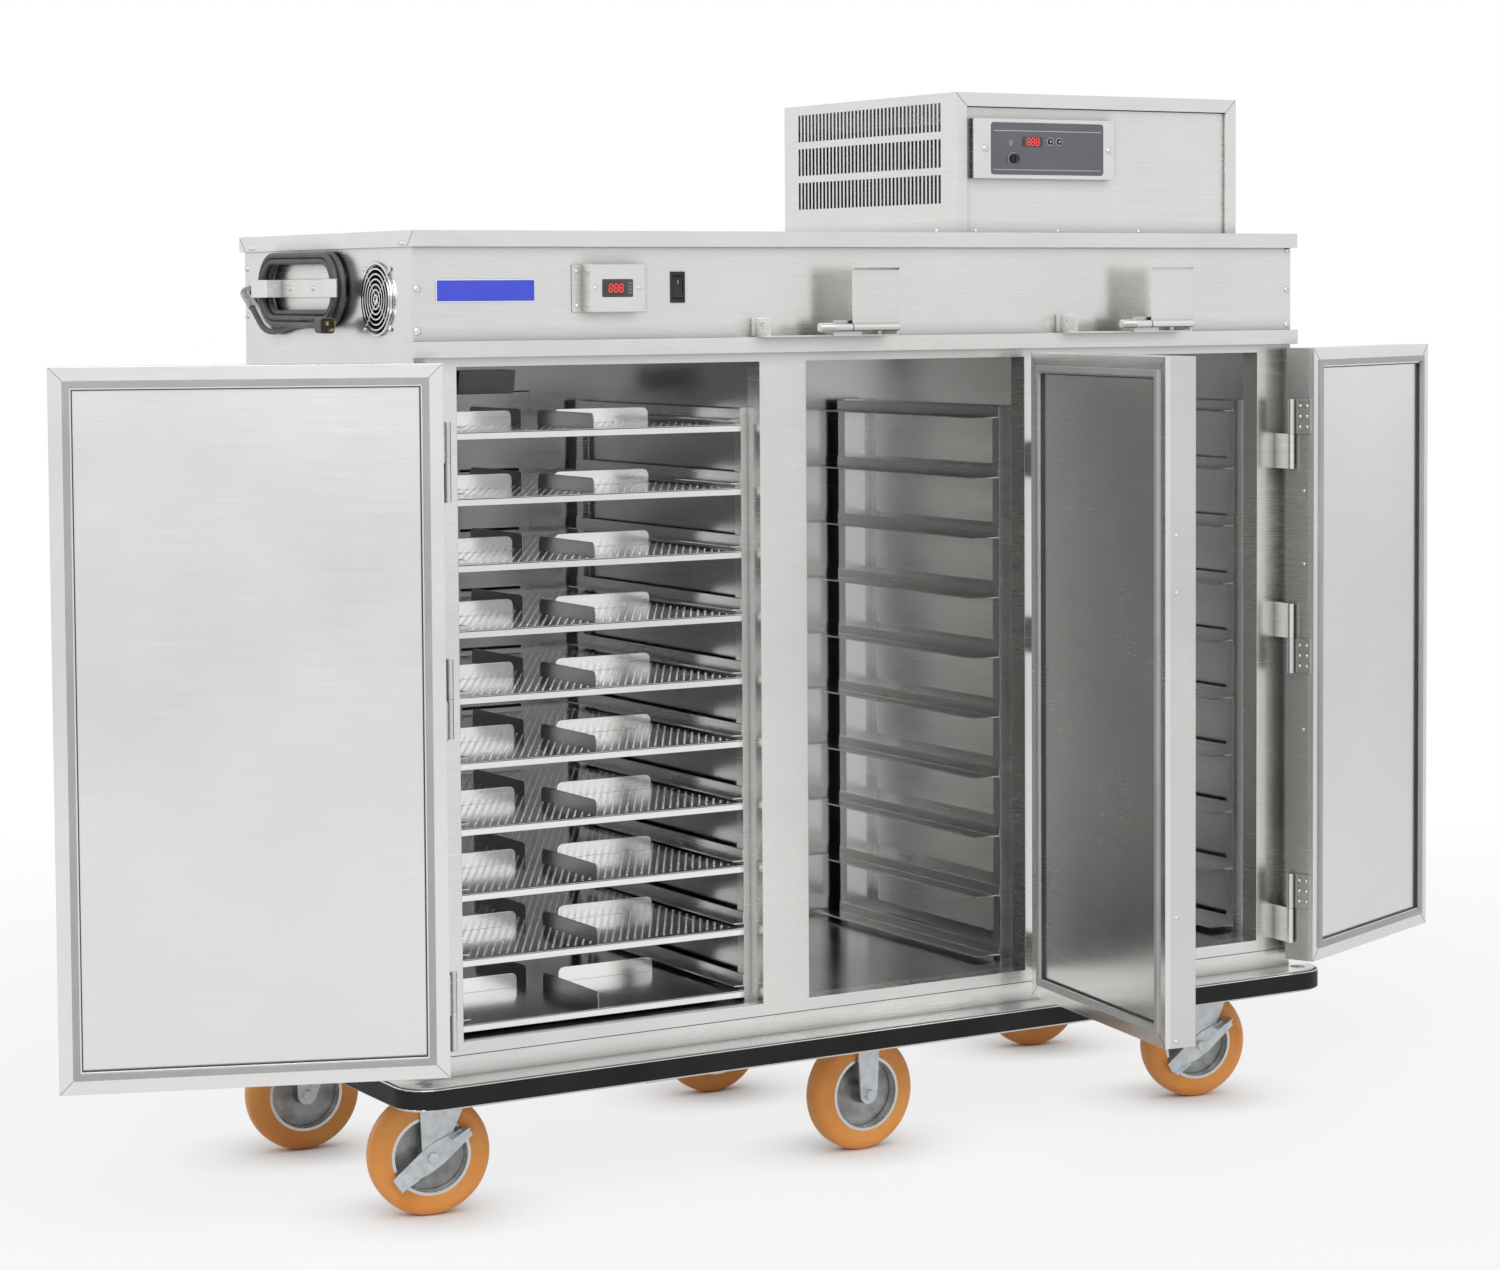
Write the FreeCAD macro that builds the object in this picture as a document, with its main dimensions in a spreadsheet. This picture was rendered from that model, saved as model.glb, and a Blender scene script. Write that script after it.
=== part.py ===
import FreeCAD, Part
import math
import os
import re
import Sketcher

# Enclosed meal tray cart on six casters. A heated cabinet with tray shelves stands on the left and a
# refrigerated cabinet with two slide racks on the right, under one control housing that carries the
# condensing unit. X runs along the front, Y runs into the depth, Z is up. The origin lies on the floor
# under the middle of the cabinet. Left, right, front and back are those of someone facing the doors.

doc = FreeCAD.newDocument("meal_tray_cart")
sheet = doc.addObject("Spreadsheet::Sheet", "dims")

# ---------------------------------------------------------------------------------------------------
# Driving dimensions in millimetres and degrees
# ---------------------------------------------------------------------------------------------------
DRIVING = {
    # cabinet
    "cabinet_width": 1776, "cabinet_depth": 684, "cabinet_base": 250, "sheet_gauge": 2,
    "frame_depth": 40, "frame_top": 1431, "opening_low": 304, "opening_high": 1390,
    "left_stile": 75, "hot_opening": 562, "mullion": 91, "middle_opening": 450, "centre_stile": 88,
    "right_opening": 433, "back_wall": 29, "cold_left_reveal": 12, "cold_right_reveal": 38,
    # platform and bumper
    "platform_side": 44, "platform_front": 54, "platform_radius": 52, "plate_thick": 4,
    "rim_low": 211, "rim_inset": 16, "bumper_low": 215, "bumper_high": 246, "bumper_proud": 6,
    "beam_height": 40, "beam_width": 60, "beam_shift": 470, "drain_radius": 14, "drain_inset": 19,
    "drain_side": 5,
    # top cover, fascia and ledge
    "cover_top": 1607, "cover_hem": 26, "cover_side": 4, "cover_front": 15, "ledge_low": 1405,
    "ledge_proud": 17, "fascia_clearance": 0.3,
    # thermostat box, rocker switch, fan
    "thermostat_left": 302, "thermostat_width": 100, "thermostat_low": 1475.5, "thermostat_height": 77,
    "thermostat_depth": 30, "thermostat_flange": 19, "lens_width": 57, "lens_height": 29,
    "rocker_left": 467, "rocker_low": 1489.5, "bezel_width": 26.5, "bezel_height": 51,
    "bezel_proud": 2, "rocker_width": 17.5, "rocker_height": 37, "rocker_thick": 9,
    "rocker_proud": 4.5, "rocker_play": 0.5, "rocker_pivot": 1.5, "rocker_swell": 3, "rocker_foot": 5,
    "switch_depth": 26,
    "fan_from_front": 130, "fan_height": 1498, "guard_radius": 59, "guard_wire": 2.4, "guard_rings": 7,
    "fan_bore": 56, "fan_radius": 51, "fan_hub": 20, "fan_blades": 7, "fan_blade_width": 17,
    "fan_blade_depth": 18, "fan_blade_thick": 1.6, "fan_axle": 4, "fan_frame_depth": 25,
    "fan_rim": 3, "fan_strut": 10, "fan_strut_thick": 3, "rotor_shift": 1.7, "axle_shift": 4,
    "tip_room": 2, "shaft_clearance": 0.05,
    # doors
    "door_low": 270, "door_high": 1398, "door_thick": 56, "door_gap": 4, "hot_door_width": 606,
    "cold_door_width": 480, "door_trim": 22, "panel_recess": 5, "liner_thick": 10, "door_gauge": 1.5,
    "gasket_width": 10, "gasket_proud": 3.6, "gasket_groove": 3, "hot_overlap": 31, "middle_overlap": 14,
    "right_overlap": 33, "hinge_gap": 9, "hinge_inset": 14,
    "hot_door_open": 200.5, "middle_door_open": 81.4, "right_door_open": 203.2,
    # hinges
    "knuckle_radius": 6, "pin_radius": 3, "leaf_thick": 2.5, "leaf_length": 36, "leaf_half": 64,
    "flange_length": 30, "knuckle_gap": 0.5, "hinge_high": 1241, "hinge_middle": 866, "hinge_low": 367,
    # transport latches
    "latch_strip": 254, "latch_middle_left": 624, "latch_right_left": 1250, "strip_depth": 48,
    "strip_back": 8, "strip_thick": 2.5, "ear_height": 32, "ear_hole": 7, "rod_radius": 4,
    "rod_forward": 66, "rod_rise": 15, "rod_left": 90, "bracket_left": 124, "bracket_width": 55,
    "bracket_back": 7.5, "bracket_rise": 12, "knuckle_width": 30,
    "paddle_left": 156, "paddle_width": 92, "paddle_height": 102, "paddle_thick": 2.5,
    "paddle_knuckle": 6.5, "lip_length": 4.2, "spring_radius": 6.5,
    # racks and shelves
    "tray_levels": 10, "hot_pitch": 106.8, "cold_pitch": 107.5, "hot_slide_low": 330.8,
    "cold_slide_low": 313.5, "slide_tall": 20, "cold_slide_wide": 43, "hot_slide_wide": 20,
    "slide_gauge": 2, "hot_post": 13, "cold_post": 16, "post_depth": 22, "post_gauge": 1.5,
    "hot_rack_front": 1, "cold_rack_front": 54, "rack_back_gap": 22, "rack_top_over": 20, "slide_setback": 14,
    "centre_rack_width": 73, "cold_rack_reveal": 12,
    "shelf_gauge": 2, "shelf_play": 2.5, "shelf_lip": 12, "shelf_front": 4, "shelf_depth": 575,
    "tab_height": 25, "stop_from_front": 234, "stop_length": 185, "stop_gap": 80, "stop_shift": 8.5,
    "divider_length": 200, "divider_from_front": 12, "divider_shift": 11, "divider_behind_stop": 40,
    # refrigeration unit on the top
    "unit_left": 1073, "unit_width": 620, "unit_front": 56, "unit_depth": 576, "unit_height": 246,
    "unit_trim": 24, "unit_recess": 6, "slot_width": 7.4, "slot_height": 50, "slot_pitch": 12.4,
    "slot_count": 39, "slot_row_pitch": 63, "slot_low": 53, "slot_front": 48,
    "control_left": 30, "control_width": 304, "control_low": 96, "control_height": 105,
    "control_proud": 12, "button_radius": 5, "button_travel": 2, "button_proud": 2.5,
    "button_up_left": 193, "button_down_left": 212, "button_height": 162, "dial_left": 113,
    "dial_height": 131, "dial_radius": 8, "dial_stem_radius": 3, "dial_stem_reach": 4,
    "dial_proud": 9, "dial_gap": 0.3, "dial_rib_width": 3, "dial_rib_proud": 2, "dial_rib_inset": 0.5,
    "well_reach": 5, "button_seat": 1,
    # machinery inside the unit, measured from its left, its front and the top cover
    "machine_side": 60, "machine_front": 70, "machine_back": 40, "machine_tray": 6,
    "fin_count": 12, "fin_pitch": 6, "fin_thick": 2, "fin_start": 20, "coil_front": 90,
    "coil_back": 60, "fin_top": 196, "machine_foot": 5,
    "tube_rows": 5, "tube_banks": 6, "tube_radius": 5, "tube_length": 80, "tube_start": 14,
    "tube_front": 120, "tube_step": 75, "tube_low": 26, "tube_rise": 36,
    "shroud_start": 96, "shroud_thick": 3, "shroud_top": 205, "shroud_bore": 88, "shroud_rise": 105,
    "can_left": 250, "can_front": 300, "can_radius": 80, "can_height": 120,
    "dome_radius": 62, "dome_height": 40,
    "receiver_left": 400, "receiver_front": 200, "receiver_radius": 38, "receiver_height": 170,
    # supply cord, its cleat, grip and plug
    "cleat_half": 15, "cleat_rise": 1517, "cleat_front": 275, "cleat_back": 518, "cleat_stand": 30,
    "cleat_wing_front": 47, "cleat_wing_back": 68, "cleat_gauge": 2,
    "cord_radius": 5, "coil_middle": 410, "coil_rise": 1517, "coil_length": 350, "coil_height": 121,
    "coil_step": 12, "coil_inner": 8, "coil_layer": 11.2, "coil_turns": 2, "coil_flat": 12,
    "lead_reach": 70, "tail_reach": 50,
    "grip_from_front": 668, "grip_rise": 1514, "grip_radius": 8, "grip_bend": 10.5,
    "grip_straight": 38, "grip_slope": 37, "plug_out": 38, "plug_from_front": 292,
    "plug_rise": 1456, "plug_length": 46, "plug_width": 27, "plug_neck": 8, "blade_length": 17,
    "blade_apart": 6, "blade_thick": 1.6, "blade_tall": 6.4, "earth_drop": 7, "earth_radius": 2.4,
    "earth_longer": 3,
    # casters
    "wheel_radius": 101.5, "tyre_width": 50, "tread_round": 19, "rim_radius": 66, "rim_wall": 5,
    "web_thick": 10, "boss_radius": 20, "boss_play": 1.5, "axle_radius": 6, "caster_front": 110,
    "caster_back": 630, "caster_side": 100, "caster_middle": 9, "trail": 36,
    "plate_length": 114, "plate_width": 100, "caster_plate": 6, "kingpin_radius": 9,
    "race_radius": 38, "race_height": 20, "race_gap": 0.3, "yoke_thick": 5, "fork_gap": 4,
    "fork_gauge": 5, "fork_tip": 17, "fork_front": 34, "fork_back": 58, "fork_rigid": 24,
    "kingpin_end": 4, "boss_taper": 3, "rim_taper": 2, "nut_radius": 9.5, "nut_thick": 8, "lever_thick": 3,
    "lever_reach": 74, "lever_half": 19,
    "lever_end": 9, "lever_gap": 0.3, "pedal_depth": 22, "pedal_length": 34, "lever_tilt": 33,
    "swivel_front_left": -12, "swivel_front_right": -12, "swivel_back_left": -6,
    "swivel_back_right": -10,
}
for row, (alias, number) in enumerate(DRIVING.items(), start=1):
    sheet.set(f"A{row}", alias)
    sheet.set(f"B{row}", str(number))
    sheet.setAlias(f"B{row}", alias)
doc.recompute()


class Sizes:
    """The cells of the sheet as numbers, for the few shapes that are computed as curves."""

    def __getattr__(self, alias):
        return float(sheet.get(alias))


size = Sizes()
X, Y, Z = FreeCAD.Vector(1, 0, 0), FreeCAD.Vector(0, 1, 0), FreeCAD.Vector(0, 0, 1)
NODES = []

# Places that many pieces share, as expressions of the sheet
LEFT = "(0 - cabinet_width / 2)"
RIGHT = "(cabinet_width / 2)"
FRONT = "(0 - cabinet_depth / 2)"
BACK = "(cabinet_depth / 2)"
HOT_L = f"({LEFT} + left_stile)"
HOT_R = f"({HOT_L} + hot_opening)"
MID_L = f"({HOT_R} + mullion)"
MID_R = f"({MID_L} + middle_opening)"
RIGHT_L = f"({MID_R} + centre_stile)"
RIGHT_R = f"({RIGHT_L} + right_opening)"
COLD_L = f"({MID_L} - cold_left_reveal)"
COLD_R = f"({RIGHT_R} + cold_right_reveal)"
FRAME_BACK = f"({FRONT} + frame_depth)"
BAY_BACK = f"({BACK} - back_wall)"
GRIP_Y = f"({FRONT} + grip_from_front)"
COVER_LOW = "(cover_top - cover_hem)"


def bound(text):
    """Turn an expression of size names into one that reads the sheet."""
    return re.sub(r"[a-z][a-z_]+[a-z]", lambda m: "dims." + m.group() if m.group() in DRIVING else m.group(),
                  str(text))


def bind(thing, **expressions):
    for name, text in expressions.items():
        thing.setExpression(name.replace("__", "."), bound(text))


def place(thing, x="0", y="0", z="0"):
    bind(thing, Placement__Base__x=x, Placement__Base__y=y, Placement__Base__z=z)


def node(thing, label):
    thing.Label = label
    NODES.append(thing)
    return thing


# --- solids with flat faces ------------------------------------------------------------------------
def block(name, x, y, z):
    """A box from one corner to the other; x, y and z are pairs of expressions."""
    box = doc.addObject("Part::Box", name)
    bind(box, Length=f"({x[1]}) - ({x[0]})", Width=f"({y[1]}) - ({y[0]})", Height=f"({z[1]}) - ({z[0]})")
    place(box, x[0], y[0], z[0])
    return box


def rod(name, start, axis, radius, length):
    """A cylinder from start along one axis, which points the positive way."""
    cylinder = doc.addObject("Part::Cylinder", name)
    bind(cylinder, Radius=radius, Height=length)
    cylinder.Placement.Rotation = FreeCAD.Rotation(Z, axis)
    place(cylinder, *start)
    return cylinder


def fuse(name, pieces):
    joined = doc.addObject("Part::MultiFuse", name)
    joined.Shapes = list(pieces)
    joined.Refine = True
    return joined


def cut(name, base, tools):
    tools = list(tools)
    carved = doc.addObject("Part::Cut", name)
    carved.Base = base
    carved.Tool = tools[0] if len(tools) == 1 else fuse(name + "_tools", tools)
    return carved


def group(name, pieces):
    """Like pieces that share one node, kept as separate solids."""
    gathered = doc.addObject("Part::Compound", name)
    gathered.Links = list(pieces)
    return gathered


# --- solids drawn as a sketch and padded or turned --------------------------------------------------
def new_body(name):
    return doc.addObject("PartDesign::Body", name)


def new_sketch(body, role, offset="0"):
    sketch = body.newObject("Sketcher::SketchObject", "sketch")
    plane = next(item for item in body.Origin.OriginFeatures if item.Role == role)
    sketch.AttachmentSupport = [(plane, "")]
    sketch.MapMode = "FlatFace"
    bind(sketch, AttachmentOffset__Base__z=offset)
    return sketch


def draw(sketch, corners):
    """Draw a closed outline whose corners are pairs of expressions, each tied to the origin."""
    first = sketch.GeometryCount
    count = len(corners)
    for index in range(count):
        turn = 2 * math.pi * index / count
        after = 2 * math.pi * (index + 1) / count
        line = Part.LineSegment(FreeCAD.Vector(math.cos(turn), math.sin(turn), 0),
                                FreeCAD.Vector(math.cos(after), math.sin(after), 0))
        sketch.addGeometry(line, False)
    for index in range(count):
        following = first + (index + 1) % count
        sketch.addConstraint(Sketcher.Constraint("Coincident", first + index, 2, following, 1))
    for index, corner in enumerate(corners):
        for kind, text in zip(("DistanceX", "DistanceY"), corner):
            number = sketch.addConstraint(Sketcher.Constraint(kind, -1, 1, first + index, 1, 1.0))
            sketch.setExpression(f"Constraints[{number}]", bound(text))


def draw_rectangle(sketch, across, up):
    (low, high), (bottom, top) = across, up
    draw(sketch, [(low, bottom), (high, bottom), (high, top), (low, top)])


def draw_hole(sketch, centre, radius):
    index = sketch.addGeometry(Part.Circle(FreeCAD.Vector(0, 0, 0), Z, 1), False)
    for kind, text in zip(("DistanceX", "DistanceY"), centre):
        number = sketch.addConstraint(Sketcher.Constraint(kind, -1, 1, index, 3, 1.0))
        sketch.setExpression(f"Constraints[{number}]", bound(text))
    number = sketch.addConstraint(Sketcher.Constraint("Radius", index, 1.0))
    sketch.setExpression(f"Constraints[{number}]", bound(radius))


def pad(body, sketch, length):
    feature = body.newObject("PartDesign::Pad", "pad")
    feature.Profile = sketch
    bind(feature, Length=length)
    return feature


def pocket(body, sketch, length):
    """Cut a sketch into the body on the side that its plane's normal points away from."""
    feature = body.newObject("PartDesign::Pocket", "pocket")
    feature.Profile = sketch
    bind(feature, Length=length)
    return feature


def turn(body, sketch, axis="V_Axis"):
    feature = body.newObject("PartDesign::Revolution", "turned")
    feature.Profile = sketch
    feature.ReferenceAxis = (sketch, [axis])
    feature.Angle = 360
    return feature


def edges_where(feature, wanted):
    """Names of the edges of a built feature for which wanted(edge) is true."""
    doc.recompute()
    return [f"Edge{index + 1}" for index, edge in enumerate(feature.Shape.Edges) if wanted(edge)]


def is_upright(edge):
    box = edge.BoundBox
    return box.ZLength > 1 and box.XLength < 0.01 and box.YLength < 0.01


def round_edges(body, feature, names, radius):
    rounding = body.newObject("PartDesign::Fillet", "rounding")
    rounding.Base = (feature, names)
    bind(rounding, Radius=radius)
    return rounding


# ---------------------------------------------------------------------------------------------------
# Platform: a plate with a channel rim, two cross beams, and the rubber bumper in the channel
# ---------------------------------------------------------------------------------------------------
def rounded_slab(name, grow, low, high):
    """A slab in the platform's plan, larger than the channel's flanges by grow."""
    slab = new_body(name)
    sketch = new_sketch(slab, "XY_Plane", low)
    draw_rectangle(sketch, (f"{LEFT} - platform_side - ({grow})", f"{RIGHT} + platform_side + ({grow})"),
                   (f"{FRONT} - platform_front - ({grow})", f"{BACK} + platform_front + ({grow})"))
    raised = pad(slab, sketch, f"({high}) - ({low})")
    round_edges(slab, raised, edges_where(raised, is_upright), f"platform_radius + ({grow})")
    return slab


def make_platform():
    upper = rounded_slab("rim_upper", "0", "cabinet_base - plate_thick", "cabinet_base")
    web = rounded_slab("rim_web", "0 - rim_inset", "rim_low", "cabinet_base")
    lower = rounded_slab("rim_lower", "0", "rim_low", "bumper_low")
    hollow = rounded_slab("rim_hollow", "0 - rim_inset - plate_thick", "rim_low - 1",
                          "cabinet_base - plate_thick")
    beams = []
    for side, beam_x in (("left", "0 - beam_shift"), ("right", "beam_shift")):
        beams.append(block(f"beam_{side}", (f"{beam_x} - beam_width / 2", f"{beam_x} + beam_width / 2"),
                           (f"{FRONT} - platform_front + rim_inset", f"{BACK} + platform_front - rim_inset"),
                           ("cabinet_base - plate_thick - beam_height", "cabinet_base - plate_thick")))
    drains = []
    for name, drain_x in (("left", f"{LEFT} - drain_side"), ("right", f"{RIGHT} + drain_side")):
        drains.append(rod(f"drain_{name}", (drain_x, f"{FRONT} - drain_inset",
                                            "cabinet_base - plate_thick - 1"),
                          Z, "drain_radius", "plate_thick + 2"))
    rim = cut("rim", fuse("rim_solid", [upper, web, lower]), [hollow] + drains)
    node(fuse("platform", [rim] + beams), "base_platform")
    outer = rounded_slab("bumper_outer", "bumper_proud", "bumper_low", "bumper_high")
    inner = rounded_slab("bumper_inner", "0 - rim_inset", "bumper_low - 1", "bumper_high + 1")
    node(cut("rubber", outer, [inner]), "bumper")


# ---------------------------------------------------------------------------------------------------
# Cabinet: outer wrapper, front frame, two liners, foam between them, top cover and fascia
# ---------------------------------------------------------------------------------------------------
def make_outer_shell():
    """The wrapper is one sheet bent round both sides and the back."""
    shell = new_body("wrapper")
    sketch = new_sketch(shell, "XY_Plane", "cabinet_base")
    side_front = f"{FRONT} + frame_depth"
    draw(sketch, [(LEFT, side_front), (f"{LEFT} + sheet_gauge", side_front),
                  (f"{LEFT} + sheet_gauge", f"{BACK} - sheet_gauge"),
                  (f"{RIGHT} - sheet_gauge", f"{BACK} - sheet_gauge"),
                  (f"{RIGHT} - sheet_gauge", side_front), (RIGHT, side_front), (RIGHT, BACK), (LEFT, BACK)])
    pad(shell, sketch, "cover_top - sheet_gauge - cabinet_base")
    cheeks = []
    for name, low, high in (("left", LEFT, f"{LEFT} + sheet_gauge"),
                            ("right", f"{RIGHT} - sheet_gauge", RIGHT)):
        cheeks.append(block(f"cheek_{name}", (low, high), (f"{FRONT} + sheet_gauge", side_front),
                            ("frame_top", "cover_top - sheet_gauge")))
    whole = fuse("wrapper_whole", [shell] + cheeks)
    fan_hole = rod("fan_hole", (f"{LEFT} - 1", f"{FRONT} + fan_from_front", "fan_height"), X, "fan_bore",
                   "sheet_gauge + 2")
    grip_hole = rod("grip_hole", (f"{LEFT} - 1", GRIP_Y, "grip_rise"), X, "grip_radius + shaft_clearance",
                    "sheet_gauge + 2")
    node(cut("shell", whole, [fan_hole, grip_hole]), "outer_shell")


def make_front_frame():
    """The frame round the three openings is folded sheet, hollow inside and open below."""
    openings = ((HOT_L, HOT_R), (MID_L, MID_R), (RIGHT_L, RIGHT_R))
    frame = new_body("frame")
    sketch = new_sketch(frame, "XZ_Plane", f"0 - {FRAME_BACK}")
    draw_rectangle(sketch, (LEFT, RIGHT), ("cabinet_base", "frame_top"))
    for low, high in openings:
        draw_rectangle(sketch, (low, high), ("opening_low", "opening_high"))
    pad(frame, sketch, "frame_depth")
    hollow = new_body("frame_hollow")
    inside = new_sketch(hollow, "XZ_Plane", f"sheet_gauge - {FRAME_BACK}")
    draw_rectangle(inside, (f"{LEFT} + sheet_gauge", f"{RIGHT} - sheet_gauge"),
                   ("cabinet_base - 1", "frame_top - sheet_gauge"))
    for low, high in openings:
        draw_rectangle(inside, (f"{low} - sheet_gauge", f"{high} + sheet_gauge"),
                       ("opening_low - sheet_gauge", "opening_high + sheet_gauge"))
    pad(hollow, inside, "frame_depth - sheet_gauge * 2")
    node(cut("frame_sheet", frame, [hollow]), "front_frame")


def make_liner(label, low, high):
    """A five-sided sheet box behind the front frame, open to the front."""
    outer = block(f"{label}_outer", (f"{low} - sheet_gauge", f"{high} + sheet_gauge"),
                  (FRAME_BACK, f"{BAY_BACK} + sheet_gauge"),
                  ("opening_low - sheet_gauge", "opening_high + sheet_gauge"))
    inner = block(f"{label}_inner", (low, high), (f"{FRAME_BACK} - 1", BAY_BACK),
                  ("opening_low", "opening_high"))
    node(cut(f"{label}_box", outer, [inner]), label)


def make_foam():
    """Foam fills the walls, floor, ceiling and partition round both liners as one piece."""
    core = block("foam_core", (f"{LEFT} + sheet_gauge", f"{RIGHT} - sheet_gauge"),
                 (FRAME_BACK, f"{BACK} - sheet_gauge"), ("cabinet_base", "frame_top"))
    rooms = []
    for name, low, high in (("hot", HOT_L, HOT_R), ("cold", COLD_L, COLD_R)):
        rooms.append(block(f"foam_{name}", (f"{low} - sheet_gauge", f"{high} + sheet_gauge"),
                           (f"{FRAME_BACK} - 1", f"{BAY_BACK} + sheet_gauge"),
                           ("opening_low - sheet_gauge", "opening_high + sheet_gauge")))
    node(cut("foam", core, rooms), "foam_insulation")


def make_cover():
    outer = block("cover_outer", (f"{LEFT} - cover_side", f"{RIGHT} + cover_side"),
                  (f"{FRONT} - cover_front", f"{BACK} + cover_front"), (COVER_LOW, "cover_top"))
    inner = block("cover_inner",
                  (f"{LEFT} - cover_side + sheet_gauge", f"{RIGHT} + cover_side - sheet_gauge"),
                  (f"{FRONT} - cover_front + sheet_gauge", f"{BACK} + cover_front - sheet_gauge"),
                  (f"{COVER_LOW} - 1", "cover_top - sheet_gauge"))
    node(cut("cover", outer, [inner]), "top_cover")


def make_fascia():
    """The control band, and the folded ledge under it, which stands over the door tops."""
    band = block("band", (LEFT, RIGHT), (FRONT, f"{FRONT} + sheet_gauge"),
                 ("frame_top", "cover_top - sheet_gauge"))
    fold = block("ledge_fold", (f"{LEFT} - cover_side", f"{RIGHT} + cover_side"),
                 (f"{FRONT} - ledge_proud", FRONT), ("ledge_low", "frame_top"))
    hollow = block("ledge_hollow", (f"{LEFT}", f"{RIGHT}"),
                   (f"{FRONT} - ledge_proud + sheet_gauge", f"{FRONT} + 1"),
                   ("ledge_low + sheet_gauge", "frame_top - sheet_gauge"))
    ledge = cut("ledge", fold, [hollow])
    well = block("rocker_well", CASE_X, (f"{FRONT} - 1", f"{FRONT} + sheet_gauge + 1"), CASE_Z)
    node(cut("fascia", fuse("fascia_whole", [band, ledge]), [well]), "control_fascia")


# ---------------------------------------------------------------------------------------------------
# Controls in the band, and the cooling fan in the left side
# ---------------------------------------------------------------------------------------------------
ROCKER_X = f"({LEFT} + rocker_left + bezel_width / 2)"
ROCKER_Y = f"({FRONT} + rocker_proud)"
ROCKER_Z = "(rocker_low + bezel_height / 2)"
ROCKER_LOW_X = f"{ROCKER_X} - rocker_width / 2 - rocker_play"
ROCKER_HIGH_X = f"{ROCKER_X} + rocker_width / 2 + rocker_play"
ROCKER_LOW_Z = f"{ROCKER_Z} - rocker_height / 2 - rocker_play"
ROCKER_HIGH_Z = f"{ROCKER_Z} + rocker_height / 2 + rocker_play"
CASE_X = (f"{ROCKER_LOW_X} - sheet_gauge", f"{ROCKER_HIGH_X} + sheet_gauge")
CASE_Z = (f"{ROCKER_LOW_Z} - sheet_gauge", f"{ROCKER_HIGH_Z} + sheet_gauge")


def make_thermostat():
    low, high = f"{LEFT} + thermostat_left", f"{LEFT} + thermostat_left + thermostat_width"
    up = ("thermostat_low", "thermostat_low + thermostat_height")
    case = block("thermostat_case", (low, high), (f"{FRONT} - thermostat_depth", FRONT), up)
    flange = block("thermostat_ears", (f"{low} - thermostat_flange", f"{high} + thermostat_flange"),
                   (f"{FRONT} - sheet_gauge", FRONT), up)
    centre_x = f"{LEFT} + thermostat_left + thermostat_width / 2"
    centre_z = "thermostat_low + thermostat_height / 2"
    window = block("thermostat_window", (f"{centre_x} - lens_width / 2", f"{centre_x} + lens_width / 2"),
                   (f"{FRONT} - thermostat_depth - 1", f"{FRONT} - thermostat_depth + sheet_gauge / 2"),
                   (f"{centre_z} - lens_height / 2", f"{centre_z} + lens_height / 2"))
    hollow = block("thermostat_hollow", (f"{low} + sheet_gauge", f"{high} - sheet_gauge"),
                   (f"{FRONT} - thermostat_depth + sheet_gauge", f"{FRONT} + 1"),
                   ("thermostat_low + sheet_gauge", "thermostat_low + thermostat_height - sheet_gauge"))
    node(cut("thermostat", fuse("thermostat_whole", [case, flange]), [window, hollow]), "thermostat_box")


def make_rocker():
    """The switch body holds a pivot across its well, and the rocker turns about X on it."""
    well = block("switch_well", (ROCKER_LOW_X, ROCKER_HIGH_X),
                 (f"{FRONT} - bezel_proud - 1", f"{FRONT} + switch_depth - sheet_gauge"),
                 (ROCKER_LOW_Z, ROCKER_HIGH_Z))
    bezel = block("switch_bezel", (f"{ROCKER_X} - bezel_width / 2", f"{ROCKER_X} + bezel_width / 2"),
                  (f"{FRONT} - bezel_proud", FRONT),
                  (f"{ROCKER_Z} - bezel_height / 2", f"{ROCKER_Z} + bezel_height / 2"))
    case = block("switch_case", CASE_X, (FRONT, f"{FRONT} + switch_depth"), CASE_Z)
    pivot = rod("switch_pivot", (f"{ROCKER_LOW_X} - 1", ROCKER_Y, ROCKER_Z), X, "rocker_pivot",
                "rocker_width + rocker_play * 2 + 2")
    shell = fuse("switch_shell", [bezel, case])
    node(fuse("switch_whole", [cut("switch_hollow", shell, [well]), pivot]), "switch_body")

    rocker = new_body("rocker")
    sketch = new_sketch(rocker, "YZ_Plane", "0 - rocker_width / 2")
    end, crest = "(rocker_height / 2 - 1)", "0 - rocker_proud - rocker_swell"
    draw(sketch, [(crest, f"0 - {end}"), ("0 - rocker_proud", "0"), (crest, end), ("0", end),
                  ("rocker_thick", "rocker_foot"), ("rocker_thick", "0 - rocker_foot"), ("0", f"0 - {end}")])
    draw_hole(sketch, ("0", "0"), "rocker_pivot + shaft_clearance")
    pad(rocker, sketch, "rocker_width")
    place(rocker, ROCKER_X, ROCKER_Y, ROCKER_Z)
    node(rocker, "rocker_switch")


BLADE_PITCH = 38


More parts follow.
